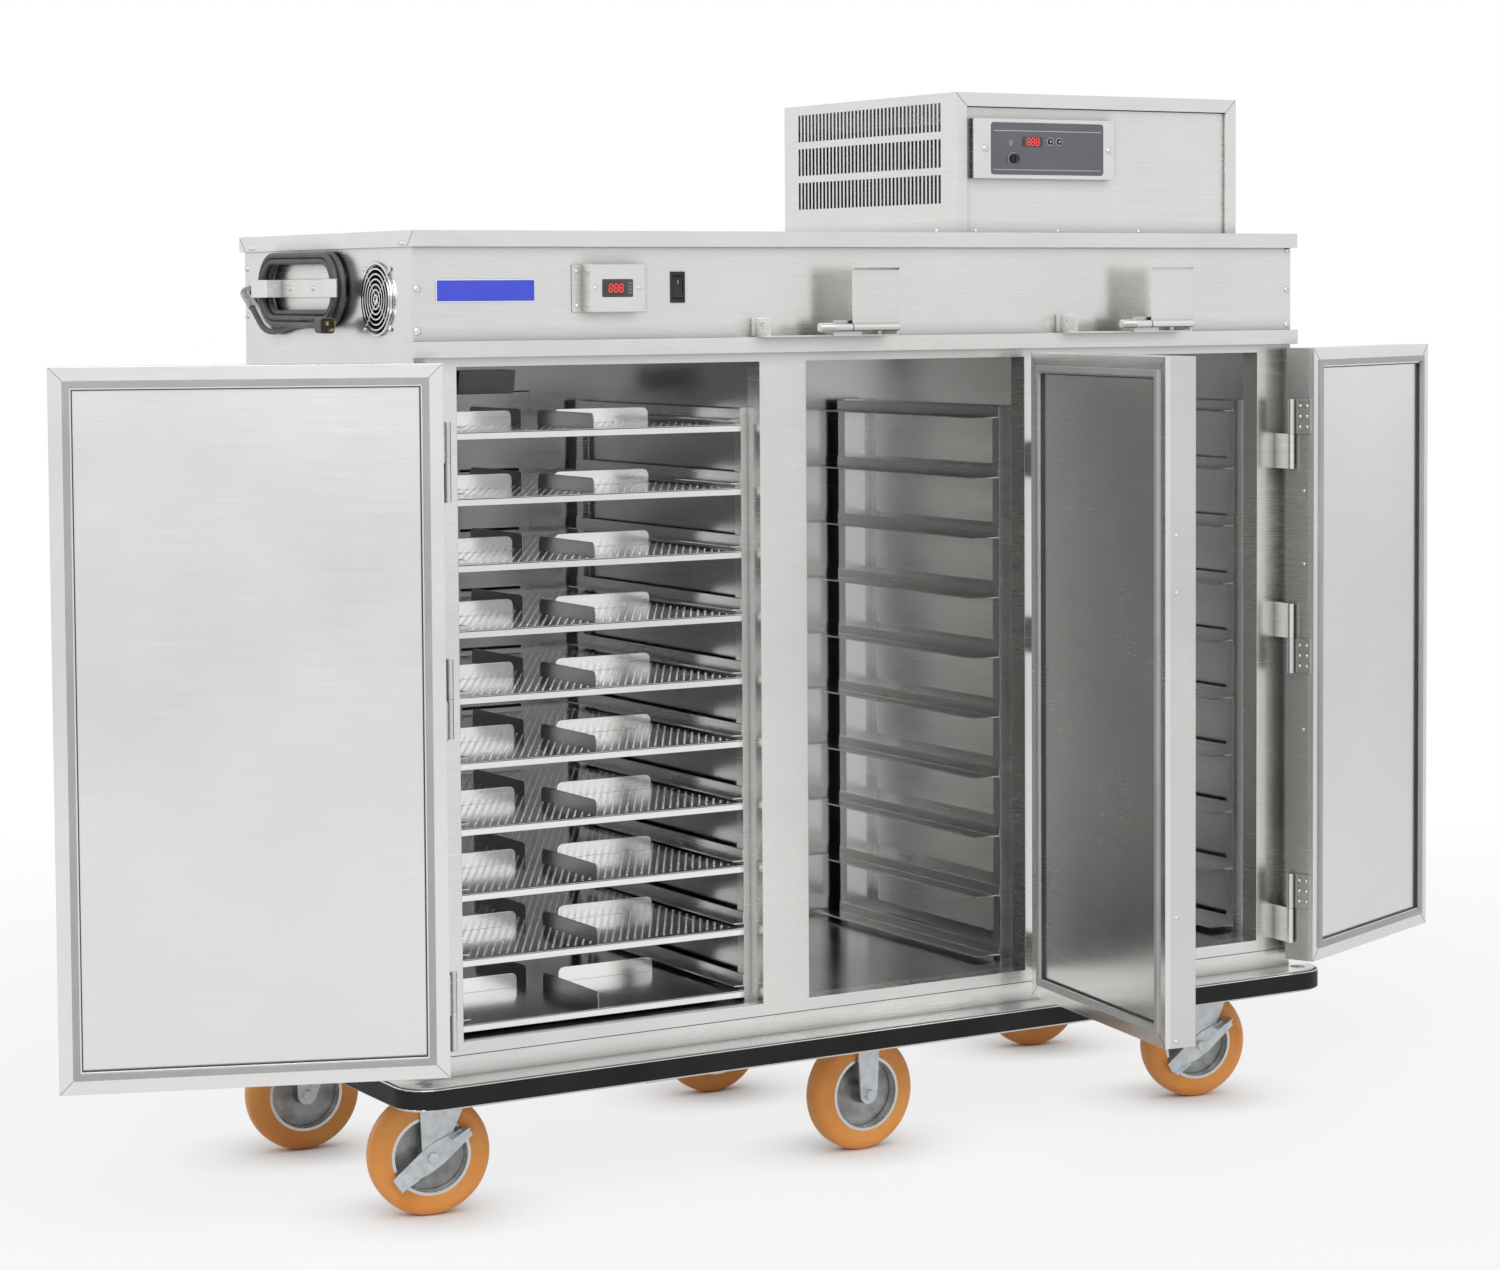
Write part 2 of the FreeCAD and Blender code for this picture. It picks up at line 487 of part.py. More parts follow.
def make_fan():
    fan_y = f"{FRONT} + fan_from_front"
    wires = []
    for index in range(int(size.guard_rings)):
        share = f"({index + 1} / guard_rings)"
        ring = rod(f"guard_ring_{index}", (f"{LEFT} - guard_wire * 2", fan_y, "fan_height"), X,
                   f"guard_radius * {share}", "guard_wire")
        gap = rod(f"guard_gap_{index}", (f"{LEFT} - guard_wire * 2 - 1", fan_y, "fan_height"), X,
                  f"guard_radius * {share} - guard_wire", "guard_wire + 2")
        wires.append(cut(f"guard_wire_{index}", ring, [gap]))
    reach = "(guard_radius + guard_wire)"
    for index in range(2):
        bar = block(f"guard_spoke_{index}", ("0 - guard_wire", "0"), (f"0 - {reach}", reach),
                    ("0 - guard_wire / 2", "guard_wire / 2"))
        feet = [block(f"guard_foot_{index}_{side}", ("0 - guard_wire", "0"), stretch,
                      ("0 - guard_wire * 1.5", "guard_wire * 1.5"))
                for side, stretch in (("low", (f"0 - {reach} - guard_wire * 3", f"0 - {reach}")),
                                      ("high", (reach, f"{reach} + guard_wire * 3")))]
        cross = fuse(f"guard_cross_{index}", [bar] + feet)
        cross.Placement.Rotation = FreeCAD.Rotation(X, 45 + 90 * index)
        place(cross, LEFT, fan_y, "fan_height")
        wires.append(cross)
    node(fuse("guard", wires), "fan_guard")

    back_x = f"({LEFT} + sheet_gauge + fan_frame_depth)"
    half = "(fan_bore + fan_rim)"
    case = block("fan_case", (f"{LEFT} + sheet_gauge", back_x), (f"{fan_y} - {half}", f"{fan_y} + {half}"),
                 (f"fan_height - {half}", f"fan_height + {half}"))
    throat = rod("fan_throat", (f"{LEFT} + 1", fan_y, "fan_height"), X, "fan_radius + tip_room",
                 "fan_frame_depth + 3")
    strut_x = (f"{back_x} - fan_strut_thick", back_x)
    bars = [block("fan_bar_upright", strut_x, (f"{fan_y} - fan_strut / 2", f"{fan_y} + fan_strut / 2"),
                  (f"fan_height - {half}", f"fan_height + {half}")),
            block("fan_bar_level", strut_x, (f"{fan_y} - {half}", f"{fan_y} + {half}"),
                  ("fan_height - fan_strut / 2", "fan_height + fan_strut / 2"))]
    axle = rod("fan_axle", (f"{LEFT} + sheet_gauge + axle_shift", fan_y, "fan_height"), X, "fan_axle",
               "fan_frame_depth - axle_shift - 1")
    node(fuse("fan_body", [cut("fan_ring", case, [throat]), axle] + bars), "fan_frame")

    hub = rod("fan_hub_body", ("0", "0", "0"), X, "fan_hub", "fan_blade_depth")
    blades = []
    for index in range(int(size.fan_blades)):
        flat = block(f"fan_flat_{index}", ("0 - fan_blade_thick / 2", "fan_blade_thick / 2"),
                     ("0 - fan_blade_width / 2", "fan_blade_width / 2"), ("fan_hub - 3", "fan_radius"))
        blade = group(f"fan_blade_{index}", [flat])
        turned = FreeCAD.Rotation(X, 360 * index / size.fan_blades)
        blade.Placement.Rotation = turned * FreeCAD.Rotation(Z, BLADE_PITCH)
        place(blade, "fan_blade_depth / 2")
        blades.append(blade)
    rotor = cut("rotor", fuse("rotor_whole", [hub] + blades),
                [rod("rotor_bore", ("2", "0", "0"), X, "fan_axle + shaft_clearance", "fan_blade_depth")])
    place(rotor, f"{LEFT} + sheet_gauge + rotor_shift", fan_y, "fan_height")
    node(rotor, "fan_rotor")


# ---------------------------------------------------------------------------------------------------
# Doors. Each is built about its hinge pin, closed, with the pin as its own origin, and then turned open.
# ---------------------------------------------------------------------------------------------------
HINGE_Y = f"({FRONT} - door_gap - door_thick + hinge_inset)"
DOORS = {
    # label: side of the pin on which the door lies, width, x of the pin, opening angle
    "left_door": (1, "hot_door_width", f"({HOT_L} - hot_overlap - hinge_gap)", "hot_door_open"),
    "middle_door": (-1, "cold_door_width", f"({MID_R} + middle_overlap + hinge_gap)", "middle_door_open"),
    "right_door": (-1, "cold_door_width", f"({RIGHT_R} + right_overlap + hinge_gap)", "right_door_open"),
}
KNUCKLES = (("hinge_high", 1), ("hinge_middle", -1), ("hinge_low", 1))


def span(side, start, end):
    """A stretch measured away from the pin, as a low and a high X."""
    return (start, end) if side > 0 else (f"0 - ({end})", f"0 - ({start})")


def hang(thing, label):
    """Put a door piece on its pin and turn it to the angle at which it stands open."""
    side, _, pin_x, angle = DOORS[label]
    thing.Placement.Rotation = FreeCAD.Rotation(FreeCAD.Vector(0, 0, -side), 10)
    place(thing, pin_x, HINGE_Y, "0")
    bind(thing, Placement__Rotation__Angle=angle)


def door_leaf(label, level, upward):
    """Leaf and knuckle that are riveted to the door's edge, on one half of the hinge's height."""
    side = DOORS[label][0]
    low, high = ("0", "leaf_half") if upward > 0 else ("0 - leaf_half", "0")
    rise = (f"{level} + ({low}) + knuckle_gap / 2", f"{level} + ({high}) - knuckle_gap / 2")
    name = f"{label}_{level}"
    plate = block(f"{name}_plate", span(side, "hinge_gap - leaf_thick", "hinge_gap"),
                  ("0", "leaf_length"), rise)
    bridge = block(f"{name}_bridge", span(side, "0", "hinge_gap"), ("0 - pin_radius", "pin_radius"), rise)
    knuckle = rod(f"{name}_knuckle", ("0", "0", rise[0]), Z, "knuckle_radius", "leaf_half - knuckle_gap")
    return [plate, bridge, knuckle]


def make_door(label):
    side, width, _, _ = DOORS[label]
    near, far = "hinge_gap", f"hinge_gap + {width}"
    outer_y, inner_y = "0 - hinge_inset", "door_thick - hinge_inset"
    face_y = f"{inner_y} - liner_thick"
    skin = block(f"{label}_skin", span(side, near, far), (outer_y, face_y), ("door_low", "door_high"))
    core = block(f"{label}_core", span(side, f"{near} + door_gauge", f"{far} - door_gauge"),
                 (f"{outer_y} + door_gauge", f"{face_y} + 1"),
                 ("door_low + door_gauge", "door_high - door_gauge"))
    bores = []
    leaves = []
    for level, upward in KNUCKLES:
        leaves += door_leaf(label, level, upward)
        bores.append(rod(f"{label}_{level}_bore", ("0", "0", f"{level} - leaf_half - 1"), Z,
                         "pin_radius + shaft_clearance", "leaf_half * 2 + 2"))
    whole = fuse(f"{label}_pan_whole", [cut(f"{label}_shell", skin, [core])] + leaves)
    pan = cut(f"{label}_pan_cut", whole, bores)
    hang(pan, label)
    node(pan, f"{label}_pan")

    trim = "door_trim + gasket_width + gasket_groove"
    slab = block(f"{label}_slab", span(side, near, far), (face_y, inner_y), ("door_low", "door_high"))
    relief = block(f"{label}_relief", span(side, f"{near} + {trim}", f"{far} - ({trim})"),
                   (f"{face_y} - 1", f"{inner_y} - panel_recess - door_gauge"),
                   (f"door_low + {trim}", f"door_high - ({trim})"))
    border = cut(f"{label}_border", slab, [relief])
    well = block(f"{label}_well", span(side, f"{near} + {trim}", f"{far} - ({trim})"),
                 (f"{inner_y} - panel_recess", f"{inner_y} + 1"),
                 (f"door_low + {trim}", f"door_high - ({trim})"))
    seat_out = block(f"{label}_seat_out", span(side, f"{near} + door_trim", f"{far} - door_trim"),
                     (f"{inner_y} - panel_recess", f"{inner_y} + 1"),
                     ("door_low + door_trim", "door_high - door_trim"))
    seat_in_trim = "door_trim + gasket_width"
    seat_in = block(f"{label}_seat_in", span(side, f"{near} + {seat_in_trim}", f"{far} - ({seat_in_trim})"),
                    (f"{inner_y} - panel_recess - 1", f"{inner_y} + 2"),
                    (f"door_low + {seat_in_trim}", f"door_high - ({seat_in_trim})"))
    seat = cut(f"{label}_seat", seat_out, [seat_in])
    liner = cut(f"{label}_liner_cut", border, [well, seat])
    hang(liner, label)
    node(liner, f"{label}_liner")

    ring = block(f"{label}_ring", span(side, f"{near} + door_trim", f"{far} - door_trim"),
                 (f"{inner_y} - panel_recess", f"{inner_y} + gasket_proud"),
                 ("door_low + door_trim", "door_high - door_trim"))
    hole = block(f"{label}_hole", span(side, f"{near} + {seat_in_trim}", f"{far} - ({seat_in_trim})"),
                 (f"{inner_y} - panel_recess - 1", f"{inner_y} + gasket_proud + 1"),
                 (f"door_low + {seat_in_trim}", f"door_high - ({seat_in_trim})"))
    gasket = cut(f"{label}_gasket_cut", ring, [hole])
    hang(gasket, label)
    node(gasket, f"{label}_gasket")


def make_frame_hinges():
    """The fixed leaves: an arm from the frame, a flange flat on it, a knuckle and the pin."""
    leaves = []
    for label, (side, _, pin_x, _) in DOORS.items():
        for level, upward in KNUCKLES:
            low, high = ("0 - leaf_half", "0") if upward > 0 else ("0", "leaf_half")
            rise = (f"{level} + ({low}) + knuckle_gap / 2", f"{level} + ({high}) - knuckle_gap / 2")
            name = f"{label}_{level}_fixed"
            reach = "door_gap + door_thick - hinge_inset"
            arm = block(f"{name}_arm", span(side, "0 - leaf_thick / 2", "leaf_thick / 2"), ("0", reach), rise)
            flange = block(f"{name}_flange", span(side, "0 - flange_length", "leaf_thick / 2"),
                           (f"{reach} - leaf_thick", reach), rise)
            knuckle = rod(f"{name}_knuckle", ("0", "0", rise[0]), Z, "knuckle_radius",
                          "leaf_half - knuckle_gap")
            pin = rod(f"{name}_pin", ("0", "0", f"{level} - leaf_half + knuckle_gap / 2"), Z, "pin_radius",
                      "leaf_half * 2 - knuckle_gap")
            leaf = fuse(name, [arm, flange, knuckle, pin])
            place(leaf, pin_x, HINGE_Y, "0")
            leaves.append(leaf)
    node(group("fixed_leaves", leaves), "frame_hinges")


# ---------------------------------------------------------------------------------------------------
# Transport latches on the ledge: a bent strip with two eared ends, a rod, a spring sleeve and a paddle
# that flips down in front of the closed door
# ---------------------------------------------------------------------------------------------------
ROD_Y = f"({FRONT} - rod_forward)"
ROD_Z = "(frame_top + rod_rise)"
LATCHES = {"middle": "latch_middle_left", "right": "latch_right_left"}


def make_latch_base(name, offset):
    left = f"{LEFT} + {offset}"
    deep = (f"{FRONT} - strip_back - strip_depth", f"{FRONT} - strip_back")
    rise = ("frame_top", "frame_top + strip_thick")
    strip = block(f"{name}_strip", (left, f"{left} + latch_strip"), deep, rise)
    heel = block(f"{name}_heel", (left, f"{left} + latch_strip"), (f"{FRONT} - strip_back - 1", FRONT), rise)
    ears = []
    for ear, start in (("near", left), ("far", f"{left} + latch_strip - strip_thick")):
        plate = block(f"{name}_{ear}", (start, f"{start} + strip_thick"), deep,
                      ("frame_top", "frame_top + ear_height"))
        hole = rod(f"{name}_{ear}_hole", (f"{start} - 1", f"{FRONT} - strip_back - strip_depth / 2",
                                          "frame_top + strip_thick + (ear_height - strip_thick) / 2"), X,
                   "ear_hole", "strip_thick + 2")
        ears.append(cut(f"{name}_{ear}_ear", plate, [hole]))
    plate_y = (f"{ROD_Y} + bracket_back", f"{ROD_Y} + bracket_back + strip_thick")
    bracket = block(f"{name}_bracket", (f"{left} + bracket_left", f"{left} + bracket_left + bracket_width"),
                    plate_y, ("frame_top", f"{ROD_Z} + bracket_rise"))
    foot = block(f"{name}_foot", (f"{left} + bracket_left", f"{left} + bracket_left + bracket_width"),
                 (plate_y[0], f"{FRONT} - strip_back"), rise)
    web = block(f"{name}_web", (f"{left} + bracket_left", f"{left} + bracket_left + knuckle_width"),
                (ROD_Y, plate_y[0]), (f"{ROD_Z} - rod_radius", f"{ROD_Z} + rod_radius"))
    knuckle = rod(f"{name}_knuckle", (f"{left} + bracket_left", ROD_Y, ROD_Z), X, "paddle_knuckle",
                  "knuckle_width")
    sleeve = rod(f"{name}_sleeve", (f"{left} + rod_left", ROD_Y, ROD_Z), X, "spring_radius",
                 "bracket_left - rod_left")
    shaft = rod(f"{name}_shaft", (f"{left} + rod_left", ROD_Y, ROD_Z), X, "rod_radius",
                "paddle_left + paddle_width - rod_left")
    return fuse(f"{name}_base", [strip, heel, bracket, foot, web, knuckle, sleeve, shaft] + ears)


def make_paddle(name, offset):
    """The paddle is built about its rod, upright, with the lip bent forward at its top."""
    blade = new_body(f"{name}_blade")
    sketch = new_sketch(blade, "YZ_Plane")
    half, lip = "(paddle_thick / 2)", "lip_length"
    draw(sketch, [(f"0 - {half}", "0"), (half, "0"), (half, f"paddle_height - {lip} + paddle_thick * 0.4"),
                  (f"{half} - {lip} - paddle_thick * 0.3", "paddle_height"),
                  (f"0 - {half} - {lip}", f"paddle_height - paddle_thick * 0.7"),
                  (f"0 - {half}", f"paddle_height - {lip} - paddle_thick * 0.7")])
    pad(blade, sketch, "paddle_width")
    barrel = rod(f"{name}_barrel", ("0", "0", "0"), X, "paddle_knuckle", "paddle_width")
    bore = rod(f"{name}_bore", ("0 - 1", "0", "0"), X, "rod_radius + shaft_clearance", "paddle_width + 2")
    paddle = cut(f"{name}_paddle", fuse(f"{name}_paddle_whole", [blade, barrel]), [bore])
    place(paddle, f"{LEFT} + {offset} + paddle_left", ROD_Y, ROD_Z)
    node(paddle, f"latch_paddle_{name}")


def make_latches():
    bases = [make_latch_base(name, offset) for name, offset in LATCHES.items()]
    node(group("latch_strips", bases), "latch_bases")
    for name, offset in LATCHES.items():
        make_paddle(name, offset)


# ---------------------------------------------------------------------------------------------------
# Inside: upright racks with angle slides in every bay, and ten tray shelves in the heated bay
# ---------------------------------------------------------------------------------------------------
def make_post(name, across, start, top, facing):
    """An upright folded to a U, with its web towards the front or towards the back."""
    (low, high) = across
    whole = block(f"{name}_whole", across, (start, f"{start} + post_depth"), ("opening_low", top))
    begin, end = ("post_gauge", "post_depth + 1") if facing > 0 else ("0 - 1", "post_depth - post_gauge")
    hollow = block(f"{name}_hollow", (f"{low} + post_gauge", f"{high} - post_gauge"),
                   (f"{start} + {begin}", f"{start} + {end}"), ("opening_low - 1", f"{top} + 1"))
    return cut(name, whole, [hollow])


def along(wall_x, direction, start, end):
    """A stretch that starts from the plane wall_x and runs along direction."""
    if direction > 0:
        return (f"{wall_x} + ({start})", f"{wall_x} + ({end})")
    return (f"{wall_x} - ({end})", f"{wall_x} - ({start})")


def make_slides(name, face_x, direction, front, wide, low, pitch, setback):
    """Ten angles on the plane face_x: a flange on the posts and one that carries the tray's edge."""
    back = f"({BAY_BACK} - rack_back_gap)"
    slides = []
    for level in range(int(size.tray_levels)):
        height = f"({low} + {pitch} * {level})"
        wall = block(f"{name}_{level}_wall", along(face_x, direction, "0", "slide_gauge"), (front, back),
                     (f"{height} - slide_gauge", f"{height} + slide_tall - slide_gauge"))
        rest = block(f"{name}_{level}_rest", along(face_x, direction, "0", wide),
                     (f"{front} + {setback}", back), (f"{height} - slide_gauge", height))
        slides.append(fuse(f"{name}_{level}", [wall, rest]))
    return slides


def make_racks():
    hot_front, cold_front = f"({FRAME_BACK} + hot_rack_front)", f"({FRAME_BACK} + cold_rack_front)"
    hot_top = "(hot_slide_low + hot_pitch * (tray_levels - 1) + rack_top_over)"
    cold_top = "(cold_slide_low + cold_pitch * (tray_levels - 1) + rack_top_over)"
    rear = f"({BAY_BACK} - rack_back_gap - post_depth)"
    centre_low = f"({MID_R} + cold_rack_reveal)"
    centre_high = f"({centre_low} + centre_rack_width)"
    pieces = []
    for name, across, front, top in (
            ("hot_left", (HOT_L, f"{HOT_L} + hot_post"), hot_front, hot_top),
            ("hot_right", (f"{HOT_R} - hot_post", HOT_R), hot_front, hot_top),
            ("cold_left", (COLD_L, f"{COLD_L} + cold_post"), cold_front, cold_top),
            ("cold_centre", (centre_low, centre_high), cold_front, cold_top),
            ("cold_right", (f"{COLD_R} - cold_post", COLD_R), cold_front, cold_top)):
        pieces.append(make_post(f"{name}_front_post", across, front, top, 1))
        pieces.append(make_post(f"{name}_rear_post", across, rear, top, -1))
    for name, face, direction in (("hot_slide_left", f"({HOT_L} + hot_post)", 1),
                                  ("hot_slide_right", f"({HOT_R} - hot_post)", -1)):
        pieces += make_slides(name, face, direction, hot_front, "hot_slide_wide", "hot_slide_low",
                              "hot_pitch", "0")
    for name, face, direction in (("cold_slide_left", f"({COLD_L} + cold_post)", 1),
                                  ("centre_slide_left", centre_low, -1),
                                  ("centre_slide_right", centre_high, 1),
                                  ("cold_slide_right", f"({COLD_R} - cold_post)", -1)):
        pieces += make_slides(name, face, direction, cold_front, "cold_slide_wide", "cold_slide_low",
                              "cold_pitch", "slide_setback")
    node(group("racks", pieces), "slide_racks")


def make_shelf(level):
    """A sheet shelf with a front lip, two tray stops across it and two dividers along it."""
    low = f"({HOT_L} + hot_post + shelf_play)"
    high = f"({HOT_R} - hot_post - shelf_play)"
    middle = f"({HOT_L} + hot_opening / 2)"
    front = f"({FRAME_BACK} - shelf_front)"
    base = f"(hot_slide_low + hot_pitch * {level})"
    top = f"({base} + shelf_gauge)"
    name = f"shelf_{level}"
    stop_y = f"({front} + stop_from_front)"
    pieces = [block(f"{name}_plate", (low, high), (front, f"{front} + shelf_depth"), (base, top)),
              block(f"{name}_lip", (low, high), (front, f"{front} + shelf_gauge"),
                    (f"{top} - shelf_lip", top))]
    gap_left = f"({middle} - stop_shift - stop_gap / 2)"
    gap_right = f"({gap_left} + stop_gap)"
    for side, across in (("left", (f"{gap_left} - stop_length", gap_left)),
                         ("right", (gap_right, f"{gap_right} + stop_length"))):
        pieces.append(block(f"{name}_stop_{side}", across, (stop_y, f"{stop_y} + shelf_gauge"),
                            (base, f"{top} + tab_height")))
    divider = f"({middle} - divider_shift)"
    for side, start in (("front", f"{front} + divider_from_front"),
                        ("rear", f"{stop_y} + divider_behind_stop")):
        pieces.append(block(f"{name}_divider_{side}", (divider, f"{divider} + shelf_gauge"),
                            (start, f"{start} + divider_length"), (base, f"{top} + tab_height")))
    return fuse(name, pieces)


def make_shelves():
    node(group("shelves", [make_shelf(level) for level in range(int(size.tray_levels))]), "tray_shelves")


# ---------------------------------------------------------------------------------------------------
# Refrigeration unit on the top: housing with slotted sides, front panel, control plate, machinery
# ---------------------------------------------------------------------------------------------------
UNIT_L = f"({LEFT} + unit_left)"
UNIT_R = f"({UNIT_L} + unit_width)"
UNIT_F = f"({FRONT} + unit_front)"
UNIT_B = f"({UNIT_F} + unit_depth)"
UNIT_TOP = "(cover_top + unit_height)"
PANEL_Y = f"({UNIT_F} + unit_recess)"
CONTROL_Y = f"({UNIT_F} - control_proud)"
MACHINE_L = f"({UNIT_L} + machine_side)"
SLOT_ROWS = 3


def make_unit_housing():
    """A folded hood with three rows of upright slots pierced through both sides."""
    hood = new_body("hood")
    sketch = new_sketch(hood, "XZ_Plane", f"0 - {UNIT_B}")
    draw_rectangle(sketch, (UNIT_L, UNIT_R), ("cover_top", UNIT_TOP))
    pad(hood, sketch, "unit_depth")
    doc.recompute()
    opening = new_sketch(hood, "XZ_Plane", f"0 - {UNIT_F}")
    draw_rectangle(opening, (f"{UNIT_L} + unit_trim", f"{UNIT_R} - unit_trim"),
                   ("cover_top", f"{UNIT_TOP} - unit_trim"))
    pocket(hood, opening, "unit_recess + sheet_gauge + 1")
    doc.recompute()
    inside = new_sketch(hood, "XZ_Plane", f"0 - {UNIT_F} - unit_recess - sheet_gauge")
    draw_rectangle(inside, (f"{UNIT_L} + sheet_gauge", f"{UNIT_R} - sheet_gauge"),
                   ("cover_top", f"{UNIT_TOP} - sheet_gauge"))
    pocket(hood, inside, "unit_depth - unit_recess - sheet_gauge * 2")
    doc.recompute()
    slots = new_sketch(hood, "YZ_Plane", f"{UNIT_R} + 1")
    for row in range(SLOT_ROWS):
        low = f"cover_top + slot_low + slot_row_pitch * {row}"
        draw_rectangle(slots, (f"{UNIT_F} + slot_front", f"{UNIT_F} + slot_front + slot_width"),
                       (low, f"{low} + slot_height"))
    pierced = pocket(hood, slots, "unit_width + 2")
    doc.recompute()
    comb = hood.newObject("PartDesign::LinearPattern", "slot_row")
    comb.Originals = [pierced]
    comb.Direction = (slots, ["H_Axis"])
    bind(comb, Occurrences="slot_count", Length="slot_pitch * (slot_count - 1)")
    hood.Tip = comb
    node(hood, "unit_housing")


def make_unit_front():
    trim = "unit_trim + fascia_clearance"
    panel = block("unit_panel", (f"{UNIT_L} + {trim}", f"{UNIT_R} - ({trim})"),
                  (PANEL_Y, f"{PANEL_Y} + sheet_gauge"), ("cover_top", f"{UNIT_TOP} - ({trim})"))
    backs = block("unit_panel_back", (f"{UNIT_L} + sheet_gauge", f"{UNIT_R} - sheet_gauge"),
                  (f"{PANEL_Y} + sheet_gauge", f"{PANEL_Y} + sheet_gauge * 2"),
                  ("cover_top", f"{UNIT_TOP} - sheet_gauge"))
    node(fuse("unit_face", [panel, backs]), "unit_front_panel")

    low_x = f"{UNIT_L} + control_left"
    box = block("control_case", (low_x, f"{low_x} + control_width"), (CONTROL_Y, PANEL_Y),
                ("cover_top + control_low", "cover_top + control_low + control_height"))
    wells = []
    for name, offset, height, radius in (("up", "button_up_left", "button_height", "button_radius"),
                                         ("down", "button_down_left", "button_height", "button_radius"),
                                         ("dial", "dial_left", "dial_height", "dial_stem_radius")):
        wells.append(rod(f"well_{name}",
                         (f"{UNIT_L} + {offset}", f"{CONTROL_Y} - 1", f"cover_top + {height}"), Y,
                         f"{radius} + shaft_clearance", "button_travel + button_proud + well_reach"))
    hollow = block("control_hollow", (f"{low_x} + sheet_gauge", f"{low_x} + control_width - sheet_gauge"),
                   (f"{CONTROL_Y} + sheet_gauge", f"{PANEL_Y} + 1"),
                   ("cover_top + control_low + sheet_gauge",
                    "cover_top + control_low + control_height - sheet_gauge"))
    node(cut("control_plate", box, wells + [hollow]), "unit_control_box")


def make_unit_controls():
    for name, offset in (("up", "button_up_left"), ("down", "button_down_left")):
        button = rod(f"button_{name}", (f"{UNIT_L} + {offset}", f"{CONTROL_Y} - button_proud",
                                        "cover_top + button_height"), Y, "button_radius",
                     "button_proud + button_travel + button_seat")
        node(button, f"button_{name}")
    stem = rod("dial_stem", ("0", "0", "0"), Y, "dial_stem_radius", "dial_proud + dial_stem_reach")
    cap = rod("dial_cap", ("0", "0", "0"), Y, "dial_radius", "dial_proud - dial_gap")
    rib = block("dial_rib", ("0 - dial_rib_width / 2", "dial_rib_width / 2"), ("0 - dial_rib_proud", "1"),
                ("0 - dial_radius + dial_rib_inset", "dial_radius - dial_rib_inset"))
    dial = fuse("dial", [stem, cap, rib])
    place(dial, f"{UNIT_L} + dial_left", f"{CONTROL_Y} - dial_proud", "cover_top + dial_height")
    node(dial, "control_dial")


def make_condensing_unit():
    """Base tray, finned coil with its fan ring, compressor and receiver, seen through the slots."""
    foot = "cover_top + machine_foot"
    deep = (f"{UNIT_F} + coil_front", f"{UNIT_B} - coil_back")
    tray = block("machine_tray", (MACHINE_L, f"{UNIT_R} - machine_side"),
                 (f"{UNIT_F} + machine_front", f"{UNIT_B} - machine_back"),
                 ("cover_top", "cover_top + machine_tray"))
    fins = []
    for index in range(int(size.fin_count)):
        start = f"{MACHINE_L} + fin_start + fin_pitch * {index}"
        fins.append(block(f"fin_{index}", (start, f"{start} + fin_thick"), deep,
                          (foot, "cover_top + fin_top")))
    tubes = []
    for row in range(int(size.tube_rows)):
        for bank in range(int(size.tube_banks)):
            tubes.append(rod(f"tube_{row}_{bank}",
                             (f"{MACHINE_L} + tube_start", f"{UNIT_F} + tube_front + tube_step * {bank}",
                              f"cover_top + tube_low + tube_rise * {row}"), X, "tube_radius", "tube_length"))
    shroud_x = f"{MACHINE_L} + shroud_start"
    plate = block("shroud_plate", (shroud_x, f"{shroud_x} + shroud_thick"), deep,
                  (foot, "cover_top + shroud_top"))
    opening = rod("shroud_hole", (f"{shroud_x} - 1", f"{UNIT_F} + unit_depth / 2",
                                  "cover_top + shroud_rise"), X, "shroud_bore", "shroud_thick + 2")
    shroud = cut("machine_shroud", plate, [opening])
    can_x, can_y = f"{MACHINE_L} + can_left", f"{UNIT_F} + can_front"
    can = rod("compressor_can", (can_x, can_y, foot), Z, "can_radius", "can_height")
    dome = rod("compressor_dome", (can_x, can_y, "cover_top + can_height"), Z, "dome_radius", "dome_height")
    receiver = rod("receiver", (f"{MACHINE_L} + receiver_left", f"{UNIT_F} + receiver_front", foot), Z,
                   "receiver_radius", "receiver_height")
    node(fuse("machine", [tray, shroud, can, dome, receiver] + fins + tubes), "condensing_unit")


# ---------------------------------------------------------------------------------------------------
# Supply cord wound on a cleat on the left side
# ---------------------------------------------------------------------------------------------------
def make_cleat():
    """A strip riveted flat to the side, with both ends stood off and carried on as wings."""
    cleat = new_body("cleat")
    sketch = new_sketch(cleat, "XY_Plane", "cleat_rise - cleat_half")
    out, thick = f"({LEFT} - cleat_stand)", "cleat_gauge"
    front, back = f"({FRONT} + cleat_front)", f"({FRONT} + cleat_back)"
    draw(sketch, [
        (LEFT, front), (LEFT, back), (f"{out} + {thick}", back),
        (f"{out} + {thick}", f"{back} + cleat_wing_back"), (out, f"{back} + cleat_wing_back"),
        (out, f"{back} - {thick}"), (f"{LEFT} - {thick}", f"{back} - {thick}"),
        (f"{LEFT} - {thick}", f"{front} + {thick}"), (out, f"{front} + {thick}"),
        (out, f"{front} - cleat_wing_front"), (f"{out} + {thick}", f"{front} - cleat_wing_front"),
        (f"{out} + {thick}", front)])
    pad(cleat, sketch, "cleat_half * 2")
    node(cleat, "cord_cleat")


def vector(x, y, z):
    return FreeCAD.Vector(x, y, z)


def arc_from(start, heading, end):
    """The arc, or the line, that leaves start along heading and reaches end."""
    chord = end - start
    along_chord = FreeCAD.Vector(chord).normalize()
    sideways = heading - along_chord * heading.dot(along_chord)
    if sideways.Length < 1e-6:
        return Part.makeLine(start, end)
    angle = heading.getAngle(chord)
    sagitta = chord.Length / 2 * math.tan(angle / 2)
    middle = start + chord / 2 + FreeCAD.Vector(sideways).normalize() * sagitta
    return Part.Arc(start, middle, end).toShape()


